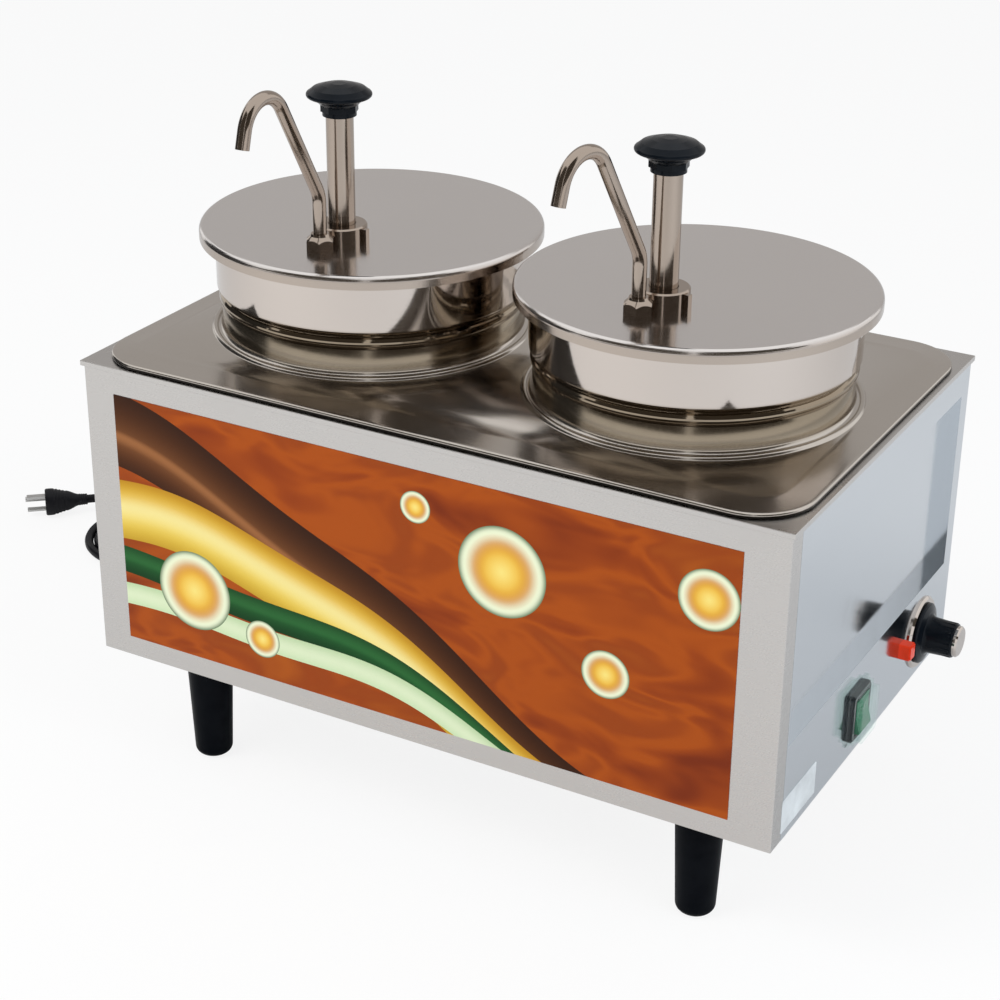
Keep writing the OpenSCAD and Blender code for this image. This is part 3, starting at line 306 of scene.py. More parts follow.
class Shader:
    """A material's node tree with short ways to add nodes."""

    def __init__(self, name):
        self.material = bpy.data.materials.new(name)
        self.material.use_nodes = True
        self.tree = self.material.node_tree
        self.tree.nodes.clear()
        self.out = self.add("ShaderNodeOutputMaterial")
        self.bsdf = self.add("ShaderNodeBsdfPrincipled")
        self.link(self.bsdf, "BSDF", self.out, "Surface")
        self.place = self.add("ShaderNodeTexCoord")

    def add(self, kind, **settings):
        node = self.tree.nodes.new(kind)
        for key, value in settings.items():
            setattr(node, key, value)
        return node

    def link(self, a, out, b, into):
        self.tree.links.new(a.outputs[out], b.inputs[into])

    def set(self, **values):
        for key, value in values.items():
            self.bsdf.inputs[key.replace("_", " ")].default_value = value

    def stretched(self, scale):
        """Object coordinates scaled by three numbers."""
        node = self.add("ShaderNodeMapping")
        node.inputs["Scale"].default_value = scale
        self.link(self.place, "Object", node, "Vector")
        return node

    def noise(self, scale, detail, rough, stretch=(1, 1, 1), distort=0.0):
        node = self.add("ShaderNodeTexNoise")
        node.inputs["Scale"].default_value = scale
        node.inputs["Detail"].default_value = detail
        node.inputs["Roughness"].default_value = rough
        node.inputs["Distortion"].default_value = distort
        self.link(self.stretched(stretch), "Vector", node, "Vector")
        return node

    def span(self, node, out, low, high, from_low=0.0, from_high=1.0):
        """Maps a node's output from one range to another."""
        m = self.add("ShaderNodeMapRange")
        m.inputs["From Min"].default_value = from_low
        m.inputs["From Max"].default_value = from_high
        m.inputs["To Min"].default_value = low
        m.inputs["To Max"].default_value = high
        self.link(node, out, m, "Value")
        return m

    def math(self, operation, a, b=None):
        """A Math node; a and b are numbers or (node, output) pairs."""
        m = self.add("ShaderNodeMath", operation=operation)
        for i, v in enumerate((a, b)):
            if isinstance(v, tuple):
                self.tree.links.new(v[0].outputs[v[1]], m.inputs[i])
            elif v is not None:
                m.inputs[i].default_value = v
        return m

    def tint(self, factor, out, dark, light, low, high):
        """A colour that runs from dark to light with a node's output."""
        ramp = self.add("ShaderNodeValToRGB")
        ramp.color_ramp.elements[0].position, ramp.color_ramp.elements[1].position = low, high
        ramp.color_ramp.elements[0].color = (*dark, 1)
        ramp.color_ramp.elements[1].color = (*light, 1)
        self.link(factor, out, ramp, "Fac")
        return ramp

    def bump(self, height, out, strength, distance, before=None):
        node = self.add("ShaderNodeBump")
        node.inputs["Strength"].default_value = strength
        node.inputs["Distance"].default_value = distance
        self.link(height, out, node, "Height")
        if before is not None:
            self.link(before, "Normal", node, "Normal")
        return node


def steel(name, colour, rough, grain, grain_scale, grain_bump, waves=0.0, spots=0.02, painted_light_tones=()):
    """Stainless steel: fine brushing along one axis, faint smears, and a slight waviness of the sheet.
    Painted light tones are pairs of a height in metres and a colour by which the steel is darkened there, from low to
    high: painted shade and painted reflection laid into the colour by height."""
    m = Shader(name)
    m.set(Metallic=1.0)
    brush = m.noise(grain_scale, 5, 0.65, grain)
    smear = m.noise(9, 5, 0.6)
    dark = tuple(c * (1 - spots) for c in colour)
    light = tuple(min(1, c * (1 + spots)) for c in colour)
    mixed = m.math("ADD", (m.span(brush, "Fac", 0.0, 0.5), "Result"), (m.span(smear, "Fac", 0.0, 0.5), "Result"))
    ramp = m.tint(mixed, "Value", dark, light, 0.3, 0.7)
    surface = (ramp, "Color")
    # Painted shade and painted reflection: the brushed colour is multiplied by a colour ramp over the object's
    # height.
    if painted_light_tones:
        height = m.add("ShaderNodeSeparateXYZ")
        m.link(m.place, "Object", height, "Vector")
        low, high = painted_light_tones[0][0], painted_light_tones[-1][0]
        scale = m.add("ShaderNodeValToRGB")
        elements = scale.color_ramp.elements
        while len(elements) < len(painted_light_tones):
            elements.new(0.5)
        for element, (z, painted_tone) in zip(elements, painted_light_tones):
            element.position = (z - low) / (high - low)
            element.color = (*painted_tone, 1)
        m.link(m.span(height, "Z", 0.0, 1.0, low, high), "Result", scale, "Fac")
        with_painted_light = m.add("ShaderNodeMix", data_type="RGBA", blend_type="MULTIPLY")
        with_painted_light.inputs[0].default_value = 1
        m.link(ramp, "Color", with_painted_light, 6)
        m.link(scale, "Color", with_painted_light, 7)
        surface = (with_painted_light, 2)
    m.link(*surface, m.bsdf, "Base Color")
    r = m.math("ADD", (m.span(smear, "Fac", rough * 0.85, rough * 1.2, 0.3, 0.7), "Result"),
               (m.span(brush, "Fac", -0.03, 0.03, 0.3, 0.7), "Result"))
    m.link(r, "Value", m.bsdf, "Roughness")
    normal = m.bump(brush, "Fac", grain_bump, 0.0004)
    if waves:
        sheet = m.noise(11, 1, 0.4)
        normal = m.bump(sheet, "Fac", waves, 0.004, normal)
    m.link(normal, "Normal", m.bsdf, "Normal")
    return m.material


def plastic(name, colour, rough, texture, coat=0.0, shine=0.5):
    """Moulded plastic with a faint skin texture, dust and handling marks."""
    m = Shader(name)
    grain = m.noise(900, 3, 0.5)
    handling = m.noise(35, 4, 0.6)
    dark = tuple(c * 0.82 for c in colour)
    light = tuple(min(1, c * 1.2 + 0.004) for c in colour)
    ramp = m.tint(handling, "Fac", dark, light, 0.3, 0.7)
    m.link(ramp, "Color", m.bsdf, "Base Color")
    m.link(m.span(handling, "Fac", rough * 0.8, rough * 1.3, 0.3, 0.7), "Result", m.bsdf, "Roughness")
    m.link(m.bump(grain, "Fac", texture, 0.0003), "Normal", m.bsdf, "Normal")
    m.set(Specular_IOR_Level=shine)
    if coat:
        m.set(Coat_Weight=coat, Coat_Roughness=0.08)
    return m.material


def clear(name, colour, rough, film_share, rim_share):
    """Soft clear vinyl: mostly see-through, with a glossy film that is stronger where it is seen edge on."""
    m = Shader(name)
    m.set(Base_Color=(*colour, 1))
    film = m.noise(60, 3, 0.5)
    m.link(m.span(film, "Fac", rough * 0.6, rough * 1.5, 0.3, 0.7), "Result", m.bsdf, "Roughness")
    m.link(m.bump(film, "Fac", 0.15, 0.0008), "Normal", m.bsdf, "Normal")
    through = m.add("ShaderNodeBsdfTransparent")
    through.inputs["Color"].default_value = (*colour, 1)
    rim = m.add("ShaderNodeLayerWeight")
    rim.inputs["Blend"].default_value = 0.35
    mixer = m.add("ShaderNodeMixShader")
    m.link(m.span(rim, "Facing", film_share, rim_share), "Result", mixer, 0)
    m.link(through, "BSDF", mixer, 1)
    m.link(m.bsdf, "BSDF", mixer, 2)
    m.link(mixer, "Shader", m.out, "Surface")
    return m.material


FRONT_STEEL = steel("stainless_front", (0.575, 0.555, 0.535), 0.27, (1, 1, 40), 60, 0.012, 0.06, 0.008)
SIDE_STEEL = steel("stainless_side", (0.62, 0.655, 0.69), 0.12, (40, 1, 1), 60, 0.008, 0.05, 0.008)
FULL = (1.0, 1.0, 1.0)
PLATE_LOW, PLATE_HIGH = (corner.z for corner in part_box("adapter_plate"))
LID_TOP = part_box("lid_left")[1].z
# Painted light on the plate, by height: a near-black line along the sheet's lower edge is a painted shadow for the
# gap under the plate, and the darker gold on the raised rings and collars is painted reflection and painted shade.
PLATE_STEEL = steel("stainless_plate", (0.56, 0.515, 0.465), 0.18, (1, 30, 1), 60, 0.012, 0.16, 0.012,
                    ((PLATE_LOW + 0.0013, (0.04, 0.035, 0.03)), (PLATE_LOW + 0.0019, FULL),
                     (PLATE_LOW + 0.0065, FULL), (PLATE_LOW + 0.0105, (0.66, 0.60, 0.50)),
                     (PLATE_HIGH, (0.50, 0.45, 0.37))))
# Painted reflection on the lids: below their flat top the rims and skirts are darker gold, fully so from 4 mm down.
LID_STEEL = steel("stainless_lid", (0.745, 0.71, 0.69), 0.16, (30, 1, 1), 60, 0.012, 0.05, 0.012,
                  ((LID_TOP - 0.004, (0.62, 0.56, 0.50)), (LID_TOP - 0.0006, FULL)))
# Painted reflection and painted shade on the insets: a darker gold band from 8 mm below the collars' top to 14.5 mm
# above it, on the shoulder and bead that rest on the collars.
INSET_STEEL = steel("stainless_inset", (0.60, 0.54, 0.495), 0.07, (1, 1, 25), 60, 0.008, 0.10, 0.012,
                    ((PLATE_HIGH - 0.008, FULL), (PLATE_HIGH - 0.002, (0.50, 0.45, 0.36)),
                     (PLATE_HIGH + 0.012, (0.54, 0.49, 0.40)), (PLATE_HIGH + 0.0145, FULL)))
BRIGHT_STEEL = steel("stainless_bright", (0.60, 0.54, 0.495), 0.07, (1, 1, 25), 60, 0.008, 0.10, 0.012)
PUMP_STEEL = steel("stainless_pump", (0.42, 0.35, 0.295), 0.13, (1, 1, 12), 120, 0.01, 0.05)
ZINC = steel("zinc", (0.55, 0.55, 0.54), 0.38, (1, 1, 1), 300, 0.1)
HEATER = steel("heater_sheath", (0.22, 0.21, 0.20), 0.5, (1, 1, 1), 300, 0.15)
COPPER = steel("copper", (0.72, 0.40, 0.24), 0.3, (1, 1, 1), 300, 0.05)
BLACK_GLOSS = plastic("black_gloss", (0.002, 0.004, 0.007), 0.20, 0.05, shine=0.12)
BLACK_LEG = plastic("black_leg", (0.001, 0.002, 0.004), 0.34, 0.12, shine=0.04)
BLACK_RUBBER = plastic("black_rubber", (0.004, 0.004, 0.006), 0.42, 0.2, shine=0.18)
GREEN = plastic("green_rocker", (0.002, 0.14, 0.06), 0.22, 0.05, shine=0.2)
ORANGE = plastic("orange_lens", (0.88, 0.045, 0.008), 0.15, 0.05, 0.1, shine=0.15)
IVORY = plastic("ivory_plastic", (0.72, 0.68, 0.55), 0.4, 0.1)
RED_WIRE = plastic("red_wire", (0.30, 0.02, 0.015), 0.4, 0.1)
WHITE = plastic("white_plastic", (0.78, 0.78, 0.75), 0.35, 0.05)
CLEAR = clear("clear_boot", (0.95, 0.98, 0.97), 0.10, 0.01, 0.15)


def fibre():
    m = Shader("glass_fibre")
    tuft = m.noise(120, 6, 0.7, (1, 1, 3))
    ramp = m.tint(tuft, "Fac", (0.55, 0.46, 0.22), (0.82, 0.75, 0.5), 0.3, 0.7)
    m.link(ramp, "Color", m.bsdf, "Base Color")
    m.link(m.bump(tuft, "Fac", 0.8, 0.004), "Normal", m.bsdf, "Normal")
    m.set(Roughness=0.95)
    return m.material


FIBRE = fibre()


def dress(material, *names):
    """Gives CAD nodes a material."""
    for name in names:
        mesh = nodes[name].data
        mesh.materials.clear()
        mesh.materials.append(material)


def put_on(obj, material):
    obj.data.materials.clear()
    obj.data.materials.append(material)


SIDES = ("left", "right")
dress(FRONT_STEEL, "front_panel", "top_frame")
dress(SIDE_STEEL, "body_shell")
dress(BRIGHT_STEEL, "well_pan", "dial_bezel", "knob_cap")
dress(INSET_STEEL, *[f"inset_{s}" for s in SIDES])
dress(LID_STEEL, *[f"lid_{s}" for s in SIDES])
dress(PUMP_STEEL, *[f"{n}_{s}" for s in SIDES for n in
                    ("pump_cylinder", "lock_collar", "spout_nut", "pump_valve", "plunger_tube")])
dress(ZINC, "element_clamps", "bottom_cover", "leg_studs", "leg_nuts", "cover_screws", "plug_prongs",
      "thermostat_shaft", *[f"pump_spring_{s}" for s in SIDES])
dress(HEATER, "heating_element")
dress(COPPER, "sensing_bulb")
dress(FIBRE, "insulation")
dress(BLACK_GLOSS, "switch_housing", "thermostat_body", "control_knob", *[f"pump_knob_{s}" for s in SIDES])
dress(BLACK_LEG, "leg_front_left", "leg_front_right", "leg_back_left", "leg_back_right")
dress(BLACK_RUBBER, "strain_relief", *[f"piston_seal_{s}" for s in SIDES])
dress(GREEN, "switch_rocker")
dress(ORANGE, "indicator_lamp")
dress(CLEAR, "switch_boot")
dress(IVORY, "terminal_block")
dress(RED_WIRE, "wiring")
dress(WHITE, *[f"piston_{s}" for s in SIDES])
for piece in (cord, plug, strap):
    put_on(piece, BLACK_RUBBER)


# Front graphic: lengths are shares of its height, with x to the right and z up from its lower left corner

# Stops of the ground's colour
GROUND = [(0.25, (0.17, 0.022, 0.004)), (0.42, (0.33, 0.055, 0.005)), (0.5, (0.45, 0.090, 0.006)),
          (0.60, (0.24, 0.034, 0.005)), (0.75, (0.44, 0.100, 0.008))]
# Bands: the middle line's height and slope, its sines (size, rate, phase), half the width, and the colour's stops
BANDS = [
    (0.80, -0.42, ((0.10, 2.1, 0.4), (0.03, 5.3, 1.0)), 0.15,
     [(0.0, (0.035, 0.010, 0.003)), (0.30, (0.12, 0.035, 0.008)), (0.42, (0.42, 0.17, 0.06)),
      (0.5, (0.10, 0.028, 0.006)), (1.0, (0.02, 0.006, 0.002))]),
    (0.52, -0.30, ((0.13, 2.1, 0.1), (0.02, 6.1, 0.3)), 0.12,
     [(0.0, (0.50, 0.28, 0.02)), (0.3, (0.86, 0.62, 0.07)), (0.55, (0.93, 0.86, 0.42)),
      (0.75, (0.80, 0.50, 0.04)), (1.0, (0.45, 0.20, 0.01))]),
    (0.33, -0.22, ((0.12, 2.0, -0.2), (0.03, 4.7, 2.0)), 0.055,
     [(0.0, (0.004, 0.035, 0.008)), (0.4, (0.008, 0.075, 0.016)), (0.6, (0.03, 0.16, 0.04)),
      (1.0, (0.004, 0.04, 0.008))]),
    (0.23, -0.20, ((0.12, 1.9, -0.5), (0.02, 5.7, 0.9)), 0.045,
     [(0.0, (0.55, 0.72, 0.42)), (0.5, (0.82, 0.90, 0.64)), (1.0, (0.45, 0.62, 0.34))]),
]
# Drops: x, z and radius, and the colour's stops from the middle outwards
DROPS = [(0.32, 0.28, 0.16), (0.62, 0.16, 0.075), (1.62, 0.70, 0.17), (2.02, 0.42, 0.09), (1.28, 0.86, 0.06),
         (2.38, 0.80, 0.11)]
DROP_COLOURS = [(0.0, (0.95, 0.80, 0.25)), (0.35, (0.90, 0.55, 0.06)), (0.62, (0.62, 0.22, 0.02)),
                (0.80, (0.86, 0.92, 0.66)), (0.90, (0.86, 0.92, 0.66)), (1.0, (0.01, 0.09, 0.02))]


def artwork():
    """Flowing bands of caramel, chocolate, cream and green with round drops, in a made-up layout."""
    m = Shader("front_print")
    lo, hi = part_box("front_graphic")
    to_unit = m.add("ShaderNodeMapping", vector_type="TEXTURE")
    to_unit.inputs["Location"].default_value = (lo.x, 0, lo.z)
    to_unit.inputs["Scale"].default_value = (hi.z - lo.z, 1, hi.z - lo.z)
    m.link(m.place, "Object", to_unit, "Vector")
    split = m.add("ShaderNodeSeparateXYZ")
    m.link(to_unit, "Vector", split, "Vector")
    x, z = (split, "X"), (split, "Z")

    def times_plus(a, factor, plus):
        """a times factor plus a number or another node's value."""
        node = m.math("MULTIPLY_ADD", a, factor)
        if isinstance(plus, tuple):
            m.link(*plus, node, 2)
        else:
            node.inputs[2].default_value = plus
        return (node, "Value")

    def wave(base, slope, sines):
        total = times_plus(x, slope, base)
        for size, rate, phase in sines:
            sine = m.math("SINE", times_plus(x, rate, phase))
            total = times_plus((sine, "Value"), size, total)
        return total

    def lay_over(below, above, where):
        """The colour above shows where where is 1."""
        node = m.add("ShaderNodeMix", data_type="RGBA")
        m.link(where, "Value", node, 0)
        m.link(*below, node, 6)
        m.link(*above, node, 7)
        return (node, 2)

    def ramp(where, stops):
        node = m.add("ShaderNodeValToRGB")
        node.color_ramp.interpolation = "B_SPLINE"
        elements = node.color_ramp.elements
        while len(elements) < len(stops):
            elements.new(0.5)
        for element, (position, colour) in zip(elements, stops):
            element.position = position
            element.color = (*colour, 1)
        m.link(*where, node, "Fac")
        return (node, "Color")

    silk = m.noise(2.2, 2, 0.45, (1, 1, 2.4), 0.8)
    m.link(to_unit, "Vector", silk.inputs["Vector"].links[0].from_node, "Vector")
    colour = ramp((silk, "Fac"), GROUND)
    for base, slope, sines, width, stops in BANDS:
        away = m.math("SUBTRACT", z, wave(base, slope, sines))
        unit = m.span(away, "Value", 0, 1, -width, width)
        inside = m.math("COMPARE", (away, "Value"), 0.0)
        inside.inputs[2].default_value = width
        colour = lay_over(colour, ramp((unit, "Result"), stops), inside)
    for drop_x, drop_z, radius in DROPS:
        squares = []
        for axis, centre in ((x, drop_x), (z, drop_z)):
            gap = (m.math("SUBTRACT", axis, centre), "Value")
            squares.append((m.math("MULTIPLY", gap, gap), "Value"))
        distance = m.math("SQRT", (m.math("ADD", *squares), "Value"))
        unit = m.math("DIVIDE", (distance, "Value"), radius)
        inside = m.math("LESS_THAN", (unit, "Value"), 1.0)
        colour = lay_over(colour, ramp((unit, "Value"), DROP_COLOURS), inside)
    m.link(*colour, m.bsdf, "Base Color")
    grain = m.noise(1500, 2, 0.5)
    m.link(m.span(grain, "Fac", 0.30, 0.40), "Result", m.bsdf, "Roughness")
    m.set(Specular_IOR_Level=0.12)
    m.link(m.bump(grain, "Fac", 0.04, 0.0002), "Normal", m.bsdf, "Normal")
    return m.material


dress(artwork(), "front_graphic")


# Adapter plate: one formed sheet with a sloped border and two collars

PLATE_W, PLATE_D, PLATE_R = 528.0, 323.0, 41.0      # width, depth and corner radius in mm
PLATE_SHEET = 1.15      # the sheet's thickness in mm
BORDER_X = 0.82         # the sloped border is narrower at the plate's ends
# The border's section: distance in from the edge and height above it, in mm
BORDER = [(0.0, 0.0), (0.0, 1.6), (0.25, 2.5), (0.9, 3.05), (2.0, 3.25), (4.0, 3.38), (18.5, 4.42), (20.5, 4.62),
          (22.0, 4.74), (24.0, 4.8)]
PITCH, INSET_Y = 254.0, -5.0            # distance between the insets, and their place in depth, in mm
RING_R, COLLAR_R = 116.0, 108.4         # radii of the raised ring's foot and of the collar, in mm
RING_ARC, FOOT_ARC = 2.4, 3.2           # radii of the ring's crown and of the collar's foot, in mm
PLATE_Z, COLLAR_TOP = PLATE_LOW / MM, PLATE_HIGH / MM
FIELD_Z = PLATE_Z + BORDER[-1][1]


def rounded(w, d, r, inset=0.0, per_corner=12):
    """Points of a rectangle w by d with corners of radius r, cut back by inset only in the corners' arcs."""
    return [point for sx, sy, start in ((1, 1, 0), (-1, 1, 90), (-1, -1, 180), (1, -1, 270))
            for point in arc(sx * (w / 2 - r), sy * (d / 2 - r), max(r - inset, 0.05), start, start + 90, per_corner)]


def make_plate():
    bm = bmesh.new()
    rings = [[at(x, y, PLATE_Z + h) for x, y in
              rounded(PLATE_W - 2 * d * BORDER_X, PLATE_D - 2 * d, PLATE_R - d)] for d, h in BORDER]
    rows = loft(bm, rings, cap_start=False, cap_end=False)
    profile = [(RING_R + 0.6, FIELD_Z), (RING_R, FIELD_Z + 0.35),
               *arc(RING_R - RING_ARC, FIELD_Z, RING_ARC, 25, 135, 8),
               *arc(COLLAR_R + FOOT_ARC, FIELD_Z + 4.0, FOOT_ARC, 270, 180, 6),
               (COLLAR_R, COLLAR_TOP - 0.5), (COLLAR_R - 0.5, COLLAR_TOP)]
    edges = [bm.edges.get((a, b)) for a, b in zip(rows[-1], rows[-1][1:] + rows[-1][:1])]
    for s in (-1, 1):
        steps = 128
        rings = [[at(s * PITCH / 2 + x, INSET_Y + y, z) for x, y in circle(r, steps)] for r, z in profile]
        ring = loft(bm, rings, cap_start=False, cap_end=False)[0]
        edges += [bm.edges.get((a, b)) for a, b in zip(ring, ring[1:] + ring[:1])]
    bmesh.ops.triangle_fill(bm, edges=edges, use_beauty=True, normal=(0, 0, 1))
    obj = from_bmesh("plate_sheet", bm, sharp=math.radians(60))
    bm = bmesh.new()
    bm.from_mesh(obj.data)
    up = sum(f.normal.z * f.calc_area() for f in bm.faces)
    if up < 0:
        bmesh.ops.reverse_faces(bm, faces=bm.faces)
    bm.to_mesh(obj.data)
    bm.free()
    thick = obj.modifiers.new("sheet", "SOLIDIFY")
    thick.thickness, thick.offset = PLATE_SHEET * MM, -1
    thick.use_even_offset = True
    return obj


plate = make_plate()
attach(plate, "plate")
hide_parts("adapter_plate")
put_on(plate, PLATE_STEEL)


# Discharge tubes: a riser, a slanted neck and an arch, in mm and degrees

RISER, BEND_Z = 26.6, 38.0              # the riser's distance from the pump, and its bend's height above the lid
SLANT, LEAN = 30.0, 16.0                # angles of the neck and of the outlet from upright
FOOT_R, NECK, ARCH_R, OUTLET = 22.0, 74.0, 22.0, 12.4   # radii of the bend and arch, lengths of the neck and outlet
TUBE_R, TUBE_WALL = 4.7, 0.9
PUMP_FORWARD, LID_TURN, PUMP_TURN = 45.0, math.radians(5), math.radians(6)
LID_Z = LID_TOP / MM


def pump_place(s):
    inset = Matrix.Translation(at(s * PITCH / 2, INSET_Y, 0)) @ Matrix.Rotation(-s * LID_TURN, 4, "Z")
    return inset @ Matrix.Translation((0, -PUMP_FORWARD * MM, 0)) @ Matrix.Rotation(-PUMP_TURN, 4, "Z")


def spout_line(start_z):
    """The tube's centre line as (forward, up) pairs in mm."""
    slant, lean = math.radians(SLANT), math.radians(LEAN)
    bend_z = LID_Z + BEND_Z - FOOT_R * math.tan(slant / 2)
    points = [(RISER, start_z + (bend_z - start_z) * i / 6) for i in range(6)]
    points += arc(RISER + FOOT_R, bend_z, -FOOT_R, 0, -SLANT)
    u, z = points[-1]
    neck_u, neck_z = NECK * math.sin(slant), NECK * math.cos(slant)
    points += [(u + neck_u * i / 6, z + neck_z * i / 6) for i in range(1, 6)]
    arch_u, arch_z = u + neck_u + ARCH_R * math.cos(slant), z + neck_z - ARCH_R * math.sin(slant)
    points += arc(arch_u, arch_z, ARCH_R, 180 - SLANT, LEAN, 32)
    u, z = points[-1]
    points += [(u + OUTLET * math.sin(lean) * i / 3, z - OUTLET * math.cos(lean) * i / 3) for i in range(1, 4)]
    return points


def make_spout(side, s):
    """A tube with an open end, whose outer and inner skins meet at its lip."""
    place = pump_place(s)
    line = spout_line(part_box(f"discharge_tube_{side}")[0].z / MM)
    bm = bmesh.new()

    def ring(radius, i):
        a, b = line[max(i - 1, 0)], line[min(i + 1, len(line) - 1)]
        t = Vector((b[0] - a[0], b[1] - a[1])).normalized()
        u, z = line[i]
        return [place @ (Vector((x, -(u + y * t.y), z - y * t.x)) * MM) for x, y in circle(radius, 32)]

    last = len(line) - 1
    outer = [ring(TUBE_R, i) for i in range(last)]
    lip = [ring(TUBE_R - 0.02, last), ring(TUBE_R - 0.25, last)]
    inner = [ring(TUBE_R - TUBE_WALL, i) for i in range(last, -1, -1)]
    loft(bm, outer + lip + inner, closed=True)
    obj = from_bmesh(f"spout_{side}", bm)
    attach(obj, f"{side}_lid")
    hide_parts(f"discharge_tube_{side}")
    put_on(obj, PUMP_STEEL)


for side_name, sign in zip(SIDES, (-1, 1)):
    make_spout(side_name, sign)


# Pump springs: each is a copy of its CAD spring with a mesh of its own, carried with its lid

for side_name in SIDES:
    node = nodes[f"pump_spring_{side_name}"]
    spring = bpy.data.objects.new(f"spring_{side_name}", node.data.copy())
    spring.matrix_world = node.matrix_world
    scene.collection.objects.link(spring)
    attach(spring, f"{side_name}_lid")
    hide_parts(node.name)
    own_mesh(spring)


# Small pieces on the right side

def slab(name, w, h, t, r, place, body, material, edge=0.15):
    """A thin plate with round corners; w runs along the place's X and h along its Y, in mm."""
    bm = bmesh.new()
    loft(bm, [[place @ (Vector((x, y, z)) * MM) for x, y in rounded(w, h, r, inset, 4)]
              for inset, z in ((0, 0), (0, t - edge), (edge, t))])
    obj = from_bmesh(name, bm)
    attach(obj, body)
    put_on(obj, material)


def on_right(y, z, out=0.0, turn=0.0):
    """A place on the right side: X runs to the back, Y up, Z out of the side."""
    axes = Matrix(((0, 0, 1, 0), (1, 0, 0, 0), (0, 1, 0, 0), (0, 0, 0, 1)))
    return Matrix.Translation(at(SIDE + out, y, z)) @ axes @ Matrix.Rotation(turn, 4, "Z")


PAPER = plastic("bare_plate", (0.62, 0.66, 0.68), 0.35, 0.05)
slab("bare_plate", 57, 25, 0.35, 1.5, on_right(-119.5, 108.5), "cabinet", PAPER)

MARK = plastic("dial_mark", (0.75, 0.75, 0.72), 0.4, 0.05)
DIAL_Y, DIAL_Z = 106.0, 123.0
DIAL_FACE = 5.3         # how far the dial's skirt stands out of the side
MARKS, MARK_R, FIRST_MARK, MARK_STEP = 11, 19.2, 230, 28     # the last two in degrees
for i in range(MARKS):
    angle = math.radians(FIRST_MARK - i * MARK_STEP)
    long, wide = (2.6, 0.7) if i else (3.6, 1.1)
    place = on_right(DIAL_Y + MARK_R * math.cos(angle), DIAL_Z + MARK_R * math.sin(angle), DIAL_FACE, angle)
    slab(f"dial_mark_{i}", long, wide, 0.12, 0.2, place, "dial", MARK, 0.04)


# Softer sheet edges on the cabinet

def soften(name, width):
    obj = nodes[name]
    weld = obj.modifiers.new("weld", "WELD")
    weld.merge_threshold = 1e-6
    bevel = obj.modifiers.new("edges", "BEVEL")
    bevel.width, bevel.segments = width * MM, 3
    bevel.limit_method, bevel.angle_limit = "ANGLE", math.radians(35)
    bevel.harden_normals = True


for node_name, width in (("front_panel", 0.5), ("top_frame", 0.4)):
    soften(node_name, width)


# Room: floor, cards that only reflections see, lamps and world

SQUARE = ((-1, -1), (1, -1), (1, 1), (-1, 1))
LAMP_AIM = (0, 0, 0.2)


def light_path_material(name, colour, camera_colour, share):
    """A diffuse surface that cameras see partly as plain light of camera_colour."""
    m = Shader(name)
    m.set(Base_Color=(*colour, 1), Roughness=0.9)
    glow = m.add("ShaderNodeEmission")
    glow.inputs["Color"].default_value = (*camera_colour, 1)
    path = m.add("ShaderNodeLightPath")
    fac = m.math("MULTIPLY", (path, "Is Camera Ray"), share)
    mixer = m.add("ShaderNodeMixShader")
    m.link(fac, "Value", mixer, 0)
    m.link(m.bsdf, "BSDF", mixer, 1)
    m.link(glow, "Emission", mixer, 2)
    m.link(mixer, "Shader", m.out, "Surface")
    return m.material


def make_floor():
    bm = bmesh.new()
    size = 6.0
    bm.faces.new([bm.verts.new((x * size, y * size, -0.0005)) for x, y in SQUARE])
    obj = from_bmesh("floor", bm, smooth=False)
    put_on(obj, light_path_material("floor", (0.86, 0.86, 0.86), (1.0, 1.0, 1.0), 0.86))


def make_card(name, centre, size, facing, level, tint=(1, 1, 1)):
    """A card that only reflections see."""
    bm = bmesh.new()
    w, h = size
    turn = Vector(facing).to_track_quat("Z", "Y").to_matrix().to_4x4()
    place = Matrix.Translation(Vector(centre)) @ turn
    bm.faces.new([bm.verts.new(place @ Vector((x * w / 2, y * h / 2, 0))) for x, y in SQUARE])
    obj = from_bmesh(name, bm, smooth=False)
    m = Shader(name)
    glow = m.add("ShaderNodeEmission")
    glow.inputs["Color"].default_value = (*tint, 1)
    glow.inputs["Strength"].default_value = level
    m.link(glow, "Emission", m.out, "Surface")
    put_on(obj, m.material)
    obj.visible_camera = False
    obj.visible_shadow = False
    obj.visible_diffuse = False


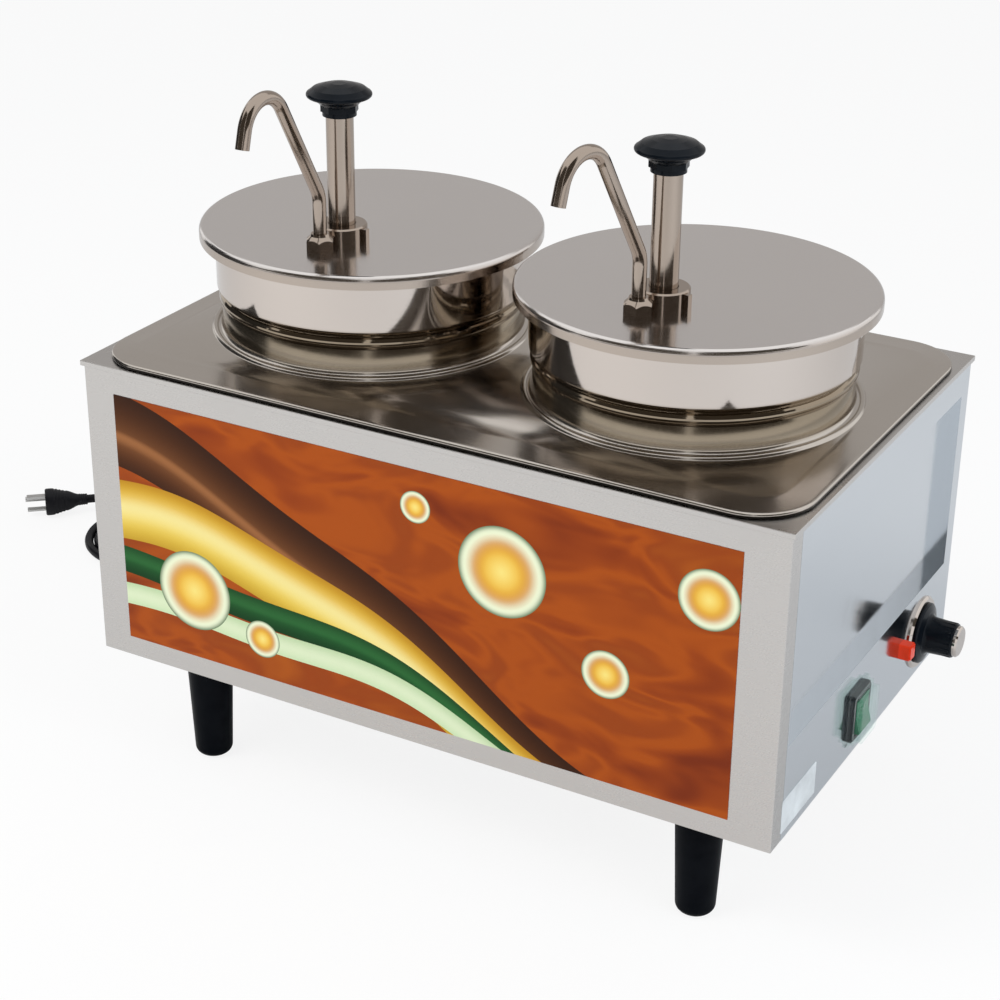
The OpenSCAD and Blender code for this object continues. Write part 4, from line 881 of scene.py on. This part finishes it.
def make_lamp(name, place, size, power, colour):
    """A soft lamp aimed at the object, which reflections don't show."""
    data = bpy.data.lights.new(name, "AREA")
    data.shape, data.size, data.size_y = "RECTANGLE", size[0], size[1]
    data.energy, data.color = power, colour
    lamp = bpy.data.objects.new(name, data)
    lamp.location = place
    lamp.rotation_mode = "QUATERNION"
    lamp.rotation_quaternion = (Vector(place) - Vector(LAMP_AIM)).to_track_quat("Z", "Y")
    lamp.visible_glossy = False
    scene.collection.objects.link(lamp)


def make_world():
    """Soft light on the object, and white wherever the camera, a reflection or clear plastic looks."""
    world = bpy.data.worlds.new("studio")
    world.use_nodes = True
    tree = world.node_tree
    tree.nodes.clear()

    def add(kind, **settings):
        node = tree.nodes.new(kind)
        for key, value in settings.items():
            setattr(node, key, value)
        return node

    def background(colour, strength):
        node = add("ShaderNodeBackground")
        node.inputs["Color"].default_value = (*colour, 1)
        node.inputs["Strength"].default_value = strength
        return node.outputs[0]

    path = add("ShaderNodeLightPath")
    seen = path.outputs["Is Camera Ray"]
    for ray in ("Is Glossy Ray", "Is Transmission Ray"):
        either = add("ShaderNodeMath", operation="MAXIMUM")
        tree.links.new(seen, either.inputs[0])
        tree.links.new(path.outputs[ray], either.inputs[1])
        seen = either.outputs[0]
    mixer = add("ShaderNodeMixShader")
    tree.links.new(seen, mixer.inputs[0])
    tree.links.new(background((0.95, 0.97, 1.0), 0.62), mixer.inputs[1])
    tree.links.new(background((1, 1, 1), 1.0), mixer.inputs[2])
    tree.links.new(mixer.outputs[0], add("ShaderNodeOutputWorld").inputs["Surface"])
    scene.world = world


make_floor()
make_world()
make_card("card_behind", (-0.9, 2.2, 1.3), (4.2, 2.3), (0.35, -0.9, -0.25), 0.50, (1.0, 0.97, 0.95))
make_card("card_left", (-2.2, -0.5, 0.9), (2.2, 1.7), (1, 0.2, -0.1), 0.05)
make_card("card_front_left", (-0.594, -2.428, 2.7), (3.67, 3.9), (0.238, 0.971, 0), 0.08, (1.0, 0.88, 0.74))
make_card("card_front_right", (2.192, -1.202, 2.7), (3.34, 3.9), (-0.877, 0.481, 0), 0.08, (1.0, 0.88, 0.74))
make_lamp("key", (-1.2, -1.6, 2.2), (1.4, 1.0), 38, (1.0, 0.98, 0.95))
make_lamp("fill", (2.0, -0.4, 1.6), (1.2, 1.2), 22, (0.90, 0.95, 1.0))

scene.view_settings.view_transform = "Standard"
